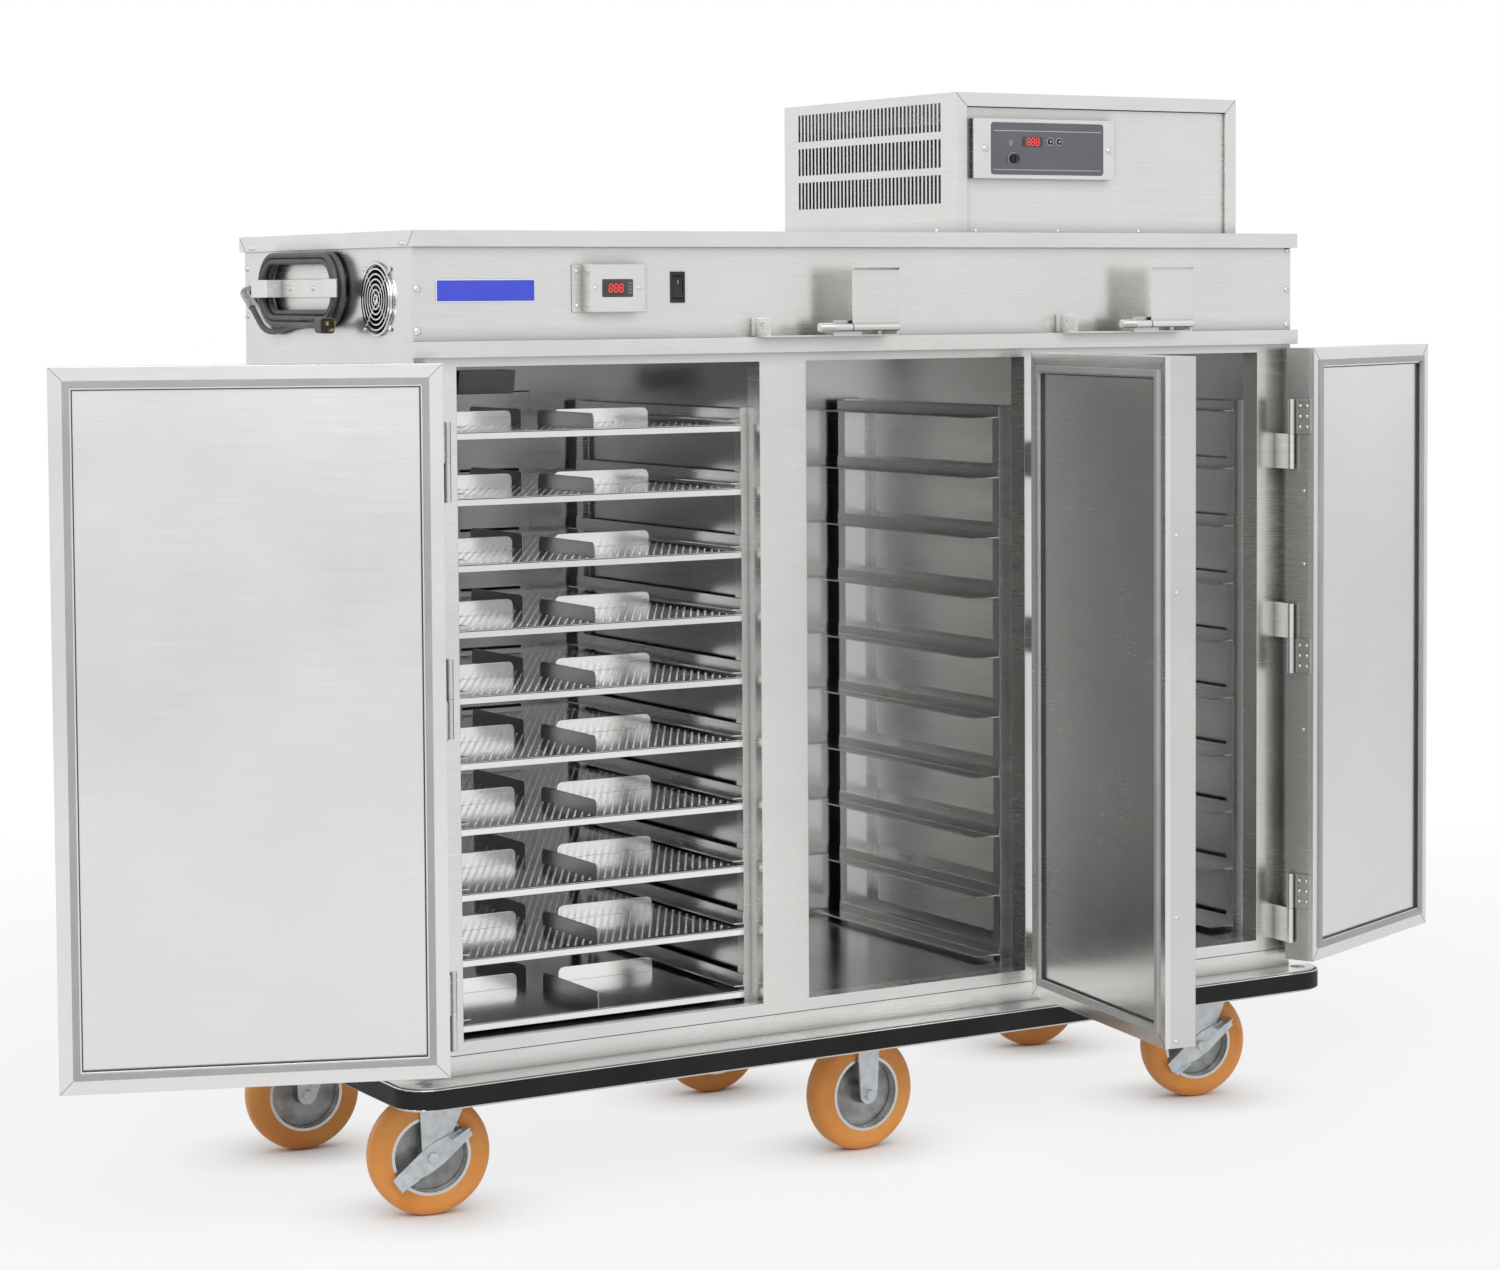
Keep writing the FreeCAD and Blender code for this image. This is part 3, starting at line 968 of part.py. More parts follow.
def quarter_turn(start, heading, end, arrival, first_angle):
    """Two arcs through a right angle, of which the first turns by first_angle."""
    ahead, across = (end - start).dot(heading), (end - start).dot(arrival)
    sine, cosine = math.sin(first_angle), math.cos(first_angle)
    radius = (ahead * cosine - across * (1 - sine)) / (sine * cosine - (1 - sine) * (1 - cosine))
    return two_arcs(start, heading, end, arrival, radius * math.tan(first_angle / 2))


def two_arcs(start, heading, end, arrival, first):
    """Two arcs that run from start to end and keep both headings; first sets where they meet."""
    chord = end - start
    second = ((chord.dot(chord) / 2 - first * chord.dot(heading))
              / (chord.dot(arrival) - first * (heading.dot(arrival) - 1)))
    joint = ((start + heading * first) * second + (end - arrival * second) * first) / (first + second)
    leaving = (end - arrival * second - start - heading * first).normalize()
    return [arc_from(start, heading, joint), arc_from(joint, leaving, end)]


def sweep(edges, radius):
    """An unbroken tube along edges that follow one another."""
    spine = Part.Wire(edges)
    first = edges[0]
    start = first.valueAt(first.FirstParameter)
    heading = first.tangentAt(first.FirstParameter)
    ring = Part.Wire([Part.makeCircle(radius, start, heading)])
    shell = Part.BRepOffsetAPI.MakePipeShell(spine)
    shell.add(ring)
    shell.build()
    shell.makeSolid()
    return shell.shape()


def least_gap(edges, radius):
    """The least gap between stretches of the tube that lie more than half a turn apart, and its length."""
    points = []
    length = 0.0
    for edge in edges:
        count = max(4, int(edge.Length / 3))
        for index in range(count):
            share = index / count
            where = edge.valueAt(edge.FirstParameter + share * (edge.LastParameter - edge.FirstParameter))
            points.append((length + share * edge.Length, where))
        length += edge.Length
    gaps = [(a - b).Length for i, (at, a) in enumerate(points) for along_b, b in points[i + 1:]
            if along_b - at > 150]
    return min(gaps) - 2 * radius, length


def coil_edges():
    """The cord's route: in from the grip, inwards in the layer at the side, over and outwards again."""
    side = -size.cabinet_width / 2
    front = -size.cabinet_depth / 2
    radius, step = size.cord_radius, size.coil_step
    middle_y, middle_z = front + size.coil_middle, size.coil_rise
    slope = math.radians(size.grip_slope)
    heading = vector(0, -math.cos(slope), -math.sin(slope))
    grip_end = vector(side - size.grip_bend, front + size.grip_from_front, size.grip_rise)
    grip_end += heading * (size.grip_straight + size.grip_bend)
    start = grip_end + heading * 2 * radius
    edges = [Part.makeLine(grip_end, start)]

    quarters = int(size.coil_turns) * 4
    directions = [vector(0, -1, 0), vector(0, 0, 1), vector(0, 1, 0), vector(0, 0, -1)]
    inner, outer = side - size.coil_inner, side - size.coil_inner - size.coil_layer
    stops = []
    for index in range(2 * quarters + 1):
        inwards = index if index <= quarters else 2 * quarters - index
        shrink = step * inwards / 4
        half_length = size.coil_length / 2 - shrink
        half_height = size.coil_height / 2 - shrink
        if index <= quarters - 1:
            x = inner
        elif index >= quarters + 1:
            x = outer
        else:
            x = (inner + outer) / 2
        turn = index % 4
        y = middle_y - (half_length if turn == 1 else -half_length if turn == 3 else 0)
        z = middle_z + (half_height if turn == 2 else -half_height if turn == 0 else 0)
        stops.append((vector(x, y, z), directions[turn], turn))
    edges += two_arcs(start, heading, stops[0][0], stops[0][1], size.lead_reach)
    flat = math.radians(size.coil_flat)
    for (place_a, way_a, turn), (place_b, way_b, _) in zip(stops, stops[1:]):
        angle = flat if turn % 2 == 0 else math.pi / 2 - flat
        edges += quarter_turn(place_a, way_a, place_b, way_b, angle)
    plug_end = vector(side - size.plug_out, front + size.plug_from_front, size.plug_rise)
    last = plug_end + vector(0, 2 * radius, 0)
    edges += two_arcs(stops[-1][0], stops[-1][1], last, vector(0, -1, 0), size.tail_reach)
    edges.append(Part.makeLine(last, plug_end))
    return edges


def make_cord():
    edges = coil_edges()
    gap, length = least_gap(edges, size.cord_radius)
    print(f"cord: least gap to itself {gap:.2f} mm, length {length / 1000:.2f} m")
    cord = doc.addObject("Part::Feature", "cord")
    cord.Shape = sweep(edges, size.cord_radius)
    node(cord, "power_cord")

    side, front = -size.cabinet_width / 2, -size.cabinet_depth / 2
    slope = math.radians(size.grip_slope)
    heading = vector(0, -math.cos(slope), -math.sin(slope))
    mouth = vector(side + size.sheet_gauge, front + size.grip_from_front, size.grip_rise)
    bend_start = vector(side, mouth.y, mouth.z)
    bend_end = bend_start + vector(-size.grip_bend, 0, 0) + heading * size.grip_bend
    grip_edges = [Part.makeLine(mouth, bend_start), arc_from(bend_start, vector(-1, 0, 0), bend_end),
                  Part.makeLine(bend_end, bend_end + heading * size.grip_straight)]
    grip = doc.addObject("Part::Feature", "grip")
    grip.Shape = sweep(grip_edges, size.grip_radius)
    node(grip, "cord_grip")


def make_plug():
    """A moulded plug that narrows to the cord, with two flat blades and a round earth pin."""
    plug_x = f"({LEFT} - plug_out)"
    plug_y = f"({FRONT} + plug_from_front)"
    face_y = f"({plug_y} - plug_length)"
    head = block("plug_head", (f"{plug_x} - plug_width / 2", f"{plug_x} + plug_width / 2"),
                 (face_y, f"{face_y} + plug_length / 2"),
                 ("plug_rise - plug_width / 2", "plug_rise + plug_width / 2"))
    neck = doc.addObject("Part::Cone", "plug_neck")
    bind(neck, Radius1="plug_width / 2", Radius2="plug_neck", Height="plug_length / 2")
    neck.Placement.Rotation = FreeCAD.Rotation(Z, Y)
    place(neck, plug_x, f"{face_y} + plug_length / 2", "plug_rise")
    blades = []
    for index, sign in enumerate("+-"):
        blade_x = f"{plug_x} {sign} blade_apart"
        blades.append(block(f"plug_blade_{index}",
                            (f"{blade_x} - blade_thick / 2", f"{blade_x} + blade_thick / 2"),
                            (f"{face_y} - blade_length", face_y), ("plug_rise", "plug_rise + blade_tall")))
    pin = rod("plug_pin", (plug_x, f"{face_y} - blade_length - earth_longer", "plug_rise - earth_drop"), Y,
              "earth_radius", "blade_length + earth_longer")
    node(fuse("plug", [head, neck, pin] + blades), "cord_plug")


# ---------------------------------------------------------------------------------------------------
# Casters. Each is built about its upright axis, rolling along X, and the four at the corners then
# swivel about that axis. The wheel trails behind it on the left.
# ---------------------------------------------------------------------------------------------------
PLATE_LOW = "(cabinet_base - plate_thick - caster_plate)"
RACE_LOW = f"({PLATE_LOW} - race_height)"
FORK_HALF = "(tyre_width / 2 + fork_gap)"
SWIVEL_CASTERS = {
    "front_left": (f"({LEFT} + caster_side)", f"({FRONT} + caster_front)", "swivel_front_left"),
    "front_right": (f"({RIGHT} - caster_side)", f"({FRONT} + caster_front)", "swivel_front_right"),
    "rear_left": (f"({LEFT} + caster_side)", f"({FRONT} + caster_back)", "swivel_back_left"),
    "rear_right": (f"({RIGHT} - caster_side)", f"({FRONT} + caster_back)", "swivel_back_right"),
}
RIGID_CASTERS = {
    "front_middle": ("caster_middle", f"({FRONT} + caster_front)"),
    "rear_middle": ("caster_middle", f"({FRONT} + caster_back)"),
}
BRAKED = ("front_left", "front_right")


def hexagon(name, centre, low, length):
    nut = doc.addObject("Part::Prism", name)
    nut.Polygon = 6
    bind(nut, Circumradius="nut_radius", Height=length)
    nut.Placement.Rotation = FreeCAD.Rotation(Z, Y)
    place(nut, centre, low, "wheel_radius")
    return nut


def fork_leg(name, wheel_x, side, across):
    """One cheek of a fork: a plate that narrows from the crown to the axle's eye."""
    low = FORK_HALF if side > 0 else f"0 - {FORK_HALF} - fork_gauge"
    cheek = new_body(name + "_cheek")
    sketch = new_sketch(cheek, "XZ_Plane", f"0 - ({low}) - fork_gauge")
    (start, end) = across
    draw(sketch, [(start, RACE_LOW), (f"{wheel_x} - fork_tip", "wheel_radius"),
                  (f"{wheel_x} + fork_tip", "wheel_radius"), (end, RACE_LOW)])
    pad(cheek, sketch, "fork_gauge")
    eye = rod(f"{name}_eye", (wheel_x, low, "wheel_radius"), Y, "fork_tip", "fork_gauge")
    return [cheek, eye]


def fork_pieces(name, wheel_x, across, nut_side_front):
    """Yoke, two cheeks and the axle with its nuts; nut_side_front is the room left for a lever."""
    (start, end) = across
    yoke = block(f"{name}_yoke", (start, end), (f"0 - {FORK_HALF} - fork_gauge", f"{FORK_HALF} + fork_gauge"),
                 (f"{RACE_LOW} - yoke_thick", RACE_LOW))
    pieces = [yoke] + fork_leg(f"{name}_front", wheel_x, -1, across)
    pieces += fork_leg(f"{name}_rear", wheel_x, 1, across)
    reach = f"({FORK_HALF} + fork_gauge)"
    axle = rod(f"{name}_axle", (wheel_x, f"0 - {reach} - {nut_side_front}", "wheel_radius"), Y, "axle_radius",
               f"{reach} * 2 + {nut_side_front}")
    pieces.append(axle)
    pieces.append(hexagon(f"{name}_nut", wheel_x, f"0 - {reach} - {nut_side_front} - nut_thick", "nut_thick"))
    pieces.append(hexagon(f"{name}_head", wheel_x, reach, "nut_thick"))
    return pieces


def make_mounts():
    """Top plates with kingpins for the swivelling casters, and the two rigid casters' frames."""
    mounts = []
    for name, (x, y, _) in SWIVEL_CASTERS.items():
        plate = block(f"{name}_plate", ("0 - plate_length / 2", "plate_length / 2"),
                      ("0 - plate_width / 2", "plate_width / 2"), (PLATE_LOW, f"{PLATE_LOW} + caster_plate"))
        kingpin = rod(f"{name}_kingpin", ("0", "0", f"{RACE_LOW} - yoke_thick - kingpin_end"), Z,
                      "kingpin_radius", "race_height + yoke_thick + kingpin_end")
        mount = fuse(f"{name}_mount", [plate, kingpin])
        place(mount, x, y)
        mounts.append(mount)
    for name, (x, y) in RIGID_CASTERS.items():
        plate = block(f"{name}_plate", ("0 - plate_length / 2", "plate_length / 2"),
                      ("0 - plate_width / 2", "plate_width / 2"), (PLATE_LOW, f"{PLATE_LOW} + caster_plate"))
        crown = block(f"{name}_crown", ("0 - fork_rigid", "fork_rigid"),
                      (f"0 - {FORK_HALF} - fork_gauge", f"{FORK_HALF} + fork_gauge"), (RACE_LOW, PLATE_LOW))
        legs = fork_pieces(name, "0", ("0 - fork_rigid", "fork_rigid"), "0")
        frame = fuse(f"{name}_frame", [plate, crown] + legs)
        place(frame, x, y)
        mounts.append(frame)
    node(group("mounts", mounts), "caster_mounts")


def swing(thing, name):
    x, y, angle = SWIVEL_CASTERS[name]
    thing.Placement.Rotation = FreeCAD.Rotation(Z, 10)
    place(thing, x, y)
    bind(thing, Placement__Rotation__Angle=angle)


def make_forks():
    for name in SWIVEL_CASTERS:
        race = rod(f"{name}_race", ("0", "0", RACE_LOW), Z, "race_radius", "race_height - race_gap")
        lever_room = "(lever_thick + lever_gap * 2)" if name in BRAKED else "0"
        bored = fork_pieces(f"{name}_fork", "(0 - trail)", ("0 - fork_back", "fork_front"), lever_room)
        bore = rod(f"{name}_bore", ("0", "0", f"{RACE_LOW} - yoke_thick - 1"), Z,
                   "kingpin_radius + shaft_clearance", "race_height + yoke_thick + 2")
        fork = cut(f"{name}_fork_cut", fuse(f"{name}_fork_whole", [race] + bored), [bore])
        swing(fork, name)
        node(fork, f"fork_{name}")


def make_levers():
    """The brake lever rocks on the axle between the fork and the nut, with a pedal at each end."""
    for name in BRAKED:
        lever = new_body(f"{name}_lever_plate")
        sketch = new_sketch(lever, "XZ_Plane", "0")
        draw(sketch, [("0 - lever_reach", "0 - lever_end"), ("0 - lever_half", "0 - lever_half"),
                      ("lever_half / 2", "0 - lever_half"), ("lever_reach", "0 - lever_end"),
                      ("lever_reach", "lever_end"), ("lever_half", "lever_half"),
                      ("0 - lever_half / 2", "lever_half"), ("0 - lever_reach", "lever_end")])
        draw_hole(sketch, ("0", "0"), "axle_radius + shaft_clearance")
        pad(lever, sketch, "lever_thick")
        pedals = [block(f"{name}_pedal_left", ("0 - lever_reach", "pedal_length - lever_reach"),
                        ("0 - pedal_depth", "0"),
                        ("0 - lever_end - lever_thick / 2", "lever_thick / 2 - lever_end")),
                  block(f"{name}_pedal_right", ("lever_reach - pedal_length", "lever_reach"),
                        ("0 - pedal_depth", "0"),
                        ("lever_end - lever_thick / 2", "lever_end + lever_thick / 2"))]
        whole = fuse(f"{name}_lever", [lever] + pedals)
        whole.Placement.Rotation = FreeCAD.Rotation(FreeCAD.Vector(0, -1, 0), 10)
        bind(whole, Placement__Rotation__Angle="lever_tilt")
        place(whole, "0 - trail", f"0 - {FORK_HALF} - fork_gauge - lever_gap", "wheel_radius")
        carried = group(f"{name}_lever_carried", [whole])
        swing(carried, name)
        node(carried, f"brake_lever_{name}")


def make_wheels():
    """A cast wheel with a web and a rim, and the tyre moulded on it."""
    wheels = {name: ("(0 - trail)", name) for name in SWIVEL_CASTERS}
    wheels.update({name: ("0", None) for name in RIGID_CASTERS})
    for name, (wheel_x, swivel) in wheels.items():
        half = "tyre_width / 2"
        hub = new_body(f"{name}_hub")
        sketch = new_sketch(hub, "YZ_Plane")
        boss = f"({FORK_HALF} - boss_play)"
        bore = "(axle_radius + shaft_clearance)"
        web, tip, seat = "web_thick / 2", "boss_radius - boss_taper", "rim_radius - rim_wall"
        draw(sketch, [(f"0 - {boss}", bore), (boss, bore), (boss, tip), (web, "boss_radius"),
                      (web, f"{seat} - rim_taper"), (half, seat), (half, "rim_radius"),
                      (f"0 - {half}", "rim_radius"), (f"0 - {half}", seat),
                      (f"0 - {web}", f"{seat} - rim_taper"), (f"0 - {web}", "boss_radius"),
                      (f"0 - {boss}", tip)])
        turn(hub, sketch, "H_Axis")
        tyre = new_body(f"{name}_tyre")
        section = new_sketch(tyre, "YZ_Plane")
        draw_rectangle(section, (f"0 - {half}", half), ("rim_radius", "wheel_radius"))
        solid = turn(tyre, section, "H_Axis")
        shoulders = edges_where(solid, lambda edge: edge.Curve.TypeId == "Part::GeomCircle"
                                and edge.Curve.Radius > size.rim_radius + 1)
        round_edges(tyre, solid, shoulders, "tread_round")
        for piece, label in ((hub, "wheel"), (tyre, "tyre")):
            place(piece, wheel_x, "0", "wheel_radius")
            carried = group(f"{name}_{label}_carried", [piece])
            if swivel:
                swing(carried, name)
            else:
                place(carried, *RIGID_CASTERS[name])
            node(carried, f"{label}_{name}")


# ---------------------------------------------------------------------------------------------------
# Build, check and export
# ---------------------------------------------------------------------------------------------------
def check_and_export():
    doc.recompute()
    for thing in doc.Objects:
        assert not {"Invalid", "Error"} & set(thing.State), f"{thing.Label}: {thing.State}"
    os.makedirs("parts", exist_ok=True)
    for thing in NODES:
        shape = thing.Shape
        assert not shape.isNull() and shape.isValid(), thing.Label
        shape.exportStep(f"parts/{thing.Label}.step")
    print(f"{len(NODES)} nodes")


make_platform()
make_outer_shell()
make_front_frame()
make_liner("hot_liner", HOT_L, HOT_R)
make_liner("cold_liner", COLD_L, COLD_R)
make_foam()
make_cover()
make_fascia()
make_thermostat()
make_rocker()
make_fan()
for door in DOORS:
    make_door(door)
make_frame_hinges()
make_latches()
make_racks()
make_shelves()
make_unit_housing()
make_unit_front()
make_unit_controls()
make_condensing_unit()
make_cleat()
make_cord()
make_plug()
make_mounts()
make_forks()
make_levers()
make_wheels()
check_and_export()
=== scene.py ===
import math

import bmesh
import bpy
from mathutils import Matrix, Vector


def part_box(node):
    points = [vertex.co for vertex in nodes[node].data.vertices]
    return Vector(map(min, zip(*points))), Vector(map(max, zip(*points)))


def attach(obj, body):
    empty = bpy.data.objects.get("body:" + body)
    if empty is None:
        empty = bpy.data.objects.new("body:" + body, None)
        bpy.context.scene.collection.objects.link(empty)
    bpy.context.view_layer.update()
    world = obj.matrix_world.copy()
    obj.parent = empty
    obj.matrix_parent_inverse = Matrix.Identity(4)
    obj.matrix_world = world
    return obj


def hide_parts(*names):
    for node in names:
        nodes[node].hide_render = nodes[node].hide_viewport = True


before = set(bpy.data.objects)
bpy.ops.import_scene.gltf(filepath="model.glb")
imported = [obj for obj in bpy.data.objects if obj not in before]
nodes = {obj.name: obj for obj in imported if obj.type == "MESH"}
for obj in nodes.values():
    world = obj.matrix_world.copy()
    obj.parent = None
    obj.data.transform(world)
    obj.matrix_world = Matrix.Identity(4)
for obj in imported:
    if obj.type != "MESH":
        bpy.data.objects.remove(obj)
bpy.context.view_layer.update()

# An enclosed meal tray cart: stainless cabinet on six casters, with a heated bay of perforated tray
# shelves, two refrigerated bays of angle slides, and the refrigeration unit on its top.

# --- Camera ---
# Left of the cart at standing height, level but for a slight tilt down, as the photograph was taken.
# Distances are from the cabinet's front left corner on the floor, like every place in this file.
left_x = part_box("outer_shell")[0].x
right_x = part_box("outer_shell")[1].x
front_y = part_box("front_frame")[0].y


def at(x, y, z):
    """A place measured from the cabinet's front left corner and the floor."""
    return Vector((left_x + x, front_y + y, z))


def new_piece(name, data):
    """An object of that data, at the origin."""
    piece = bpy.data.objects.new(name, data)
    bpy.context.scene.collection.objects.link(piece)
    return piece


camera_place = at(-2.33513, -4.97587, 1.50466)
camera_yaw = math.radians(30.81)
camera_drop = math.radians(3.12)
camera_roll = math.radians(0.36)
camera_data = bpy.data.cameras.new("camera")
camera_data.sensor_width = 36.0
camera_data.lens = 83.04
camera_data.shift_x = -0.0052
camera_data.shift_y = -0.1023
camera = new_piece("camera", camera_data)
turned = (Matrix.Rotation(-camera_yaw, 4, "Z") @ Matrix.Rotation(math.pi / 2 - camera_drop, 4, "X")
          @ Matrix.Rotation(-camera_roll, 4, "Z"))
camera.matrix_world = Matrix.Translation(camera_place) @ turned
bpy.context.scene.camera = camera
bpy.context.scene.view_settings.view_transform = "Standard"


# --- Studio ---
# A white floor without a visible edge, two large soft boxes in front and one behind on the left. The
# room is white to the camera and to reflections, and adds only part of the light on the object.
class Finish:
    """A material with its shader, and patterns drawn on the object's own coordinates."""

    def __init__(self, name, **sockets):
        self.material = bpy.data.materials.new(name)
        self.material.use_nodes = True
        self.tree = self.material.node_tree
        self.shader = self.tree.nodes["Principled BSDF"]
        for socket, value in sockets.items():
            self.shader.inputs[socket.replace("_", " ")].default_value = value
        self.place = self.add("TexCoord").outputs["Object"]

    def add(self, kind, settings=None, **inputs):
        """A node of that kind, with its settings, and its inputs set or linked."""
        node = self.tree.nodes.new("ShaderNode" + kind)
        for setting, value in (settings or {}).items():
            setattr(node, setting, value)
        for socket, value in inputs.items():
            self.set(node, socket.replace("_", " "), value)
        return node

    def set(self, node, socket, value):
        if isinstance(value, bpy.types.NodeSocket):
            self.tree.links.new(value, node.inputs[socket])
        else:
            node.inputs[socket].default_value = value

    def noise(self, stretch=(1, 1, 1), scale=1.0, detail=3.0):
        """Cloudy noise; scale is about one over the size of its patches in metres."""
        drawn = self.add("Mapping", Vector=self.place, Scale=stretch)
        return self.add("TexNoise", Vector=drawn.outputs[0], Scale=scale, Detail=detail).outputs["Fac"]

    def spread(self, value, low, high, start=0.3, end=0.7):
        """value between start and end, spread over low to high."""
        return self.add("MapRange", Value=value, **{"From_Min": start, "From_Max": end,
                                                    "To_Min": low, "To_Max": high}).outputs[0]

    def colours(self, value, first, last, start=0.3, end=0.7):
        """A colour between first and last, by value."""
        ramp = self.add("ValToRGB", Fac=value)
        for stop, colour, position in zip(ramp.color_ramp.elements, (first, last), (start, end)):
            stop.color = (*colour, 1)
            stop.position = position
        return ramp.outputs["Color"]

    def combine(self, operation, first, second):
        math_node = self.add("Math", {"operation": operation})
        self.set(math_node, 0, first)
        self.set(math_node, 1, second)
        return math_node.outputs[0]

    def blend(self, share, first, second):
        """The colour first, turning into second by share."""
        mix = self.add("Mix", {"data_type": "RGBA"})
        self.set(mix, 0, share)
        self.set(mix, 6, first)
        self.set(mix, 7, second)
        return mix.outputs[2]

    def bump(self, height, distance, before=None):
        """Relief of that depth in metres, over an earlier relief."""
        relief = self.add("Bump", Height=height, Distance=distance, Strength=1.0)
        if before is not None:
            self.set(relief, "Normal", before)
        return relief.outputs["Normal"]

    def wear(self, **outputs):
        """Links patterns to the shader's sockets and returns the material."""
        for socket, output in outputs.items():
            self.set(self.shader, socket.replace("_", " "), output)
        return self.material


def soft_box(name, place, target, width, height, power, mirrored=True):
    lamp = bpy.data.lights.new(name, "AREA")
    lamp.shape = "RECTANGLE"
    lamp.size, lamp.size_y, lamp.energy = width, height, power
    holder = new_piece(name, lamp)
    holder.location = place
    holder.visible_glossy = mirrored
    holder.rotation_euler = (target - place).to_track_quat("-Z", "Y").to_euler()


cart_middle = Vector((0, 0, 0.9))
soft_box("key", Vector((-2.6, -4.2, 4.4)), cart_middle, 4.8, 3.4, 170)
soft_box("fill", Vector((4.2, -4.0, 3.0)), cart_middle, 2.5, 3.0, 60, mirrored=False)
soft_box("rear", Vector((-3.4, 4.6, 2.2)), cart_middle, 3.4, 3.2, 40, mirrored=False)

world = bpy.data.worlds.new("studio")
world.use_nodes = True
bpy.context.scene.world = world
room_nodes = world.node_tree.nodes
room_links = world.node_tree.links
ray = room_nodes.new("ShaderNodeLightPath")
room_light, room_white, mirrored_white = 0.42, 1.0, 0.95


def room_math(operation, *values):
    """The result of that sum in the room's own nodes."""
    step = room_nodes.new("ShaderNodeMath")
    step.operation = operation
    for socket, value in zip(step.inputs, values):
        if isinstance(value, bpy.types.NodeSocket):
            room_links.new(value, socket)
        else:
            socket.default_value = value
    return step.outputs[0]


seen = room_math("MAXIMUM", ray.outputs["Is Camera Ray"], ray.outputs["Is Transmission Ray"])
strength = room_math("MULTIPLY_ADD", seen, room_white - room_light, room_light)
strength = room_math("MULTIPLY_ADD", ray.outputs["Is Glossy Ray"], mirrored_white - room_light, strength)
room = room_nodes["Background"]
room.inputs["Color"].default_value = (1.0, 1.0, 1.0, 1)
room_links.new(strength, room.inputs["Strength"])

floor_half = 40.0
bpy.ops.mesh.primitive_plane_add(size=2 * floor_half, location=(0, 0, 0))
floor = bpy.context.object
floor.name = "floor"
floor_paint = Finish("floor_paint", Roughness=0.9)
floor_paint.shader.inputs["Specular IOR Level"].default_value = 0.0
floor_tone = floor_paint.colours(floor_paint.noise(scale=0.8), (0.86, 0.86, 0.86), (0.89, 0.89, 0.89))
floor_ray = floor_paint.add("LightPath")
mirrored_share = 0.5
floor_mirrored = floor_paint.combine("MULTIPLY", floor_ray.outputs["Is Glossy Ray"], mirrored_share)
floor_seen = floor_paint.combine("MAXIMUM", floor_ray.outputs["Is Camera Ray"], floor_mirrored)
floor_seen = floor_paint.combine("MAXIMUM", floor_seen, floor_ray.outputs["Is Transmission Ray"])
away = floor_paint.add("VectorMath", {"operation": "LENGTH"})
floor_paint.tree.links.new(floor_paint.place, away.inputs[0])
near_white, far_white, near_reach, far_reach = 0.80, 1.0, 1.4, 4.0
far = floor_paint.spread(away.outputs["Value"], near_white, far_white, start=near_reach, end=far_reach)
shadow_reach, shadow_power = 0.16, 2.2
beside = floor_paint.add("AmbientOcclusion", {"samples": 8}, Distance=shadow_reach).outputs["AO"]
bare = floor_paint.combine("POWER", beside, shadow_power)
glow = floor_paint.add("Emission", Color=(1, 1, 1, 1), Strength=1.0)
shared = floor_paint.add("MixShader")
white_share = floor_paint.combine("MULTIPLY", floor_paint.combine("MULTIPLY", far, bare), floor_seen)
floor_paint.set(shared, 0, white_share)
floor_paint.wear(Base_Color=floor_tone)
floor_paint.tree.links.new(floor_paint.shader.outputs[0], shared.inputs[1])
floor_paint.tree.links.new(glow.outputs[0], shared.inputs[2])
floor_paint.tree.links.new(shared.outputs[0], floor_paint.tree.nodes["Material Output"].inputs["Surface"])
floor.data.materials.append(floor_paint.material)


# --- Supply cord ---
# Three conductors in a dark grey rubber jacket. It leaves a woven wire grip at the rear of the left
# side, is wound in four loose turns on the cleat's wings, and ends in a moulded three pin plug.
def dress(material, *names):
    """Gives every slot of those CAD nodes the finish."""
    for name in names:
        for material_slot in nodes[name].material_slots:
            material_slot.material = material


def finished(piece, material, body, slot, *replaced):
    """Finishes a piece: its material, the body it moves with, and the CAD parts it stands for, which are
    hidden. The slot is not used.
    """
    piece.data.materials.clear()
    piece.data.materials.append(material)
    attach(piece, body)
    if replaced:
        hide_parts(*replaced)
    return piece


def wire_curve(name, radius, roundness, capped=False):
    """An empty curve whose lines show as round wire of that radius."""
    curve = bpy.data.curves.new(name, "CURVE")
    curve.dimensions = "3D"
    curve.bevel_depth, curve.bevel_resolution, curve.use_fill_caps = radius, roundness, capped
    return curve


def draw_line(curve, kind, places):
    """A line of straight runs, or a smooth one with the places as its control points."""
    line = curve.splines.new(kind)
    line.points.add(len(places) - 1)
    for point, spot in zip(line.points, places):
        point.co = (*spot, 1)
    if kind == "NURBS":
        line.order_u = 3
        line.use_endpoint_u = True
    return line


cord_radius = 0.005
grip_slope = math.radians(37)
grip_heading = Vector((0, -math.cos(grip_slope), -math.sin(grip_slope)))
grip_mouth = at(-0.0105, 0.668, 1.514)
grip_end = grip_mouth + grip_heading * 0.0485
coil_middle_y, coil_middle_z = 0.410, 1.517
coil_length, coil_height = 0.326, 0.121
coil_step = 0.0100
coil_turns = 4
layer_inner, layer_outer = -0.008, -0.0192
plug_end = at(-0.038, 0.292, 1.456)
# One turn from the bottom's middle forwards: the share of the straight run, and the angle round the end
arc_step = 30
turn_shape = [(0.84, 0)] + [(1, angle) for angle in range(15, 180, arc_step)] + [(0.84, 180), (-0.84, 180)]
turn_shape += [(-1, angle) for angle in range(195, 360, arc_step)] + [(-0.84, 360)]
turn_points = len(turn_shape)


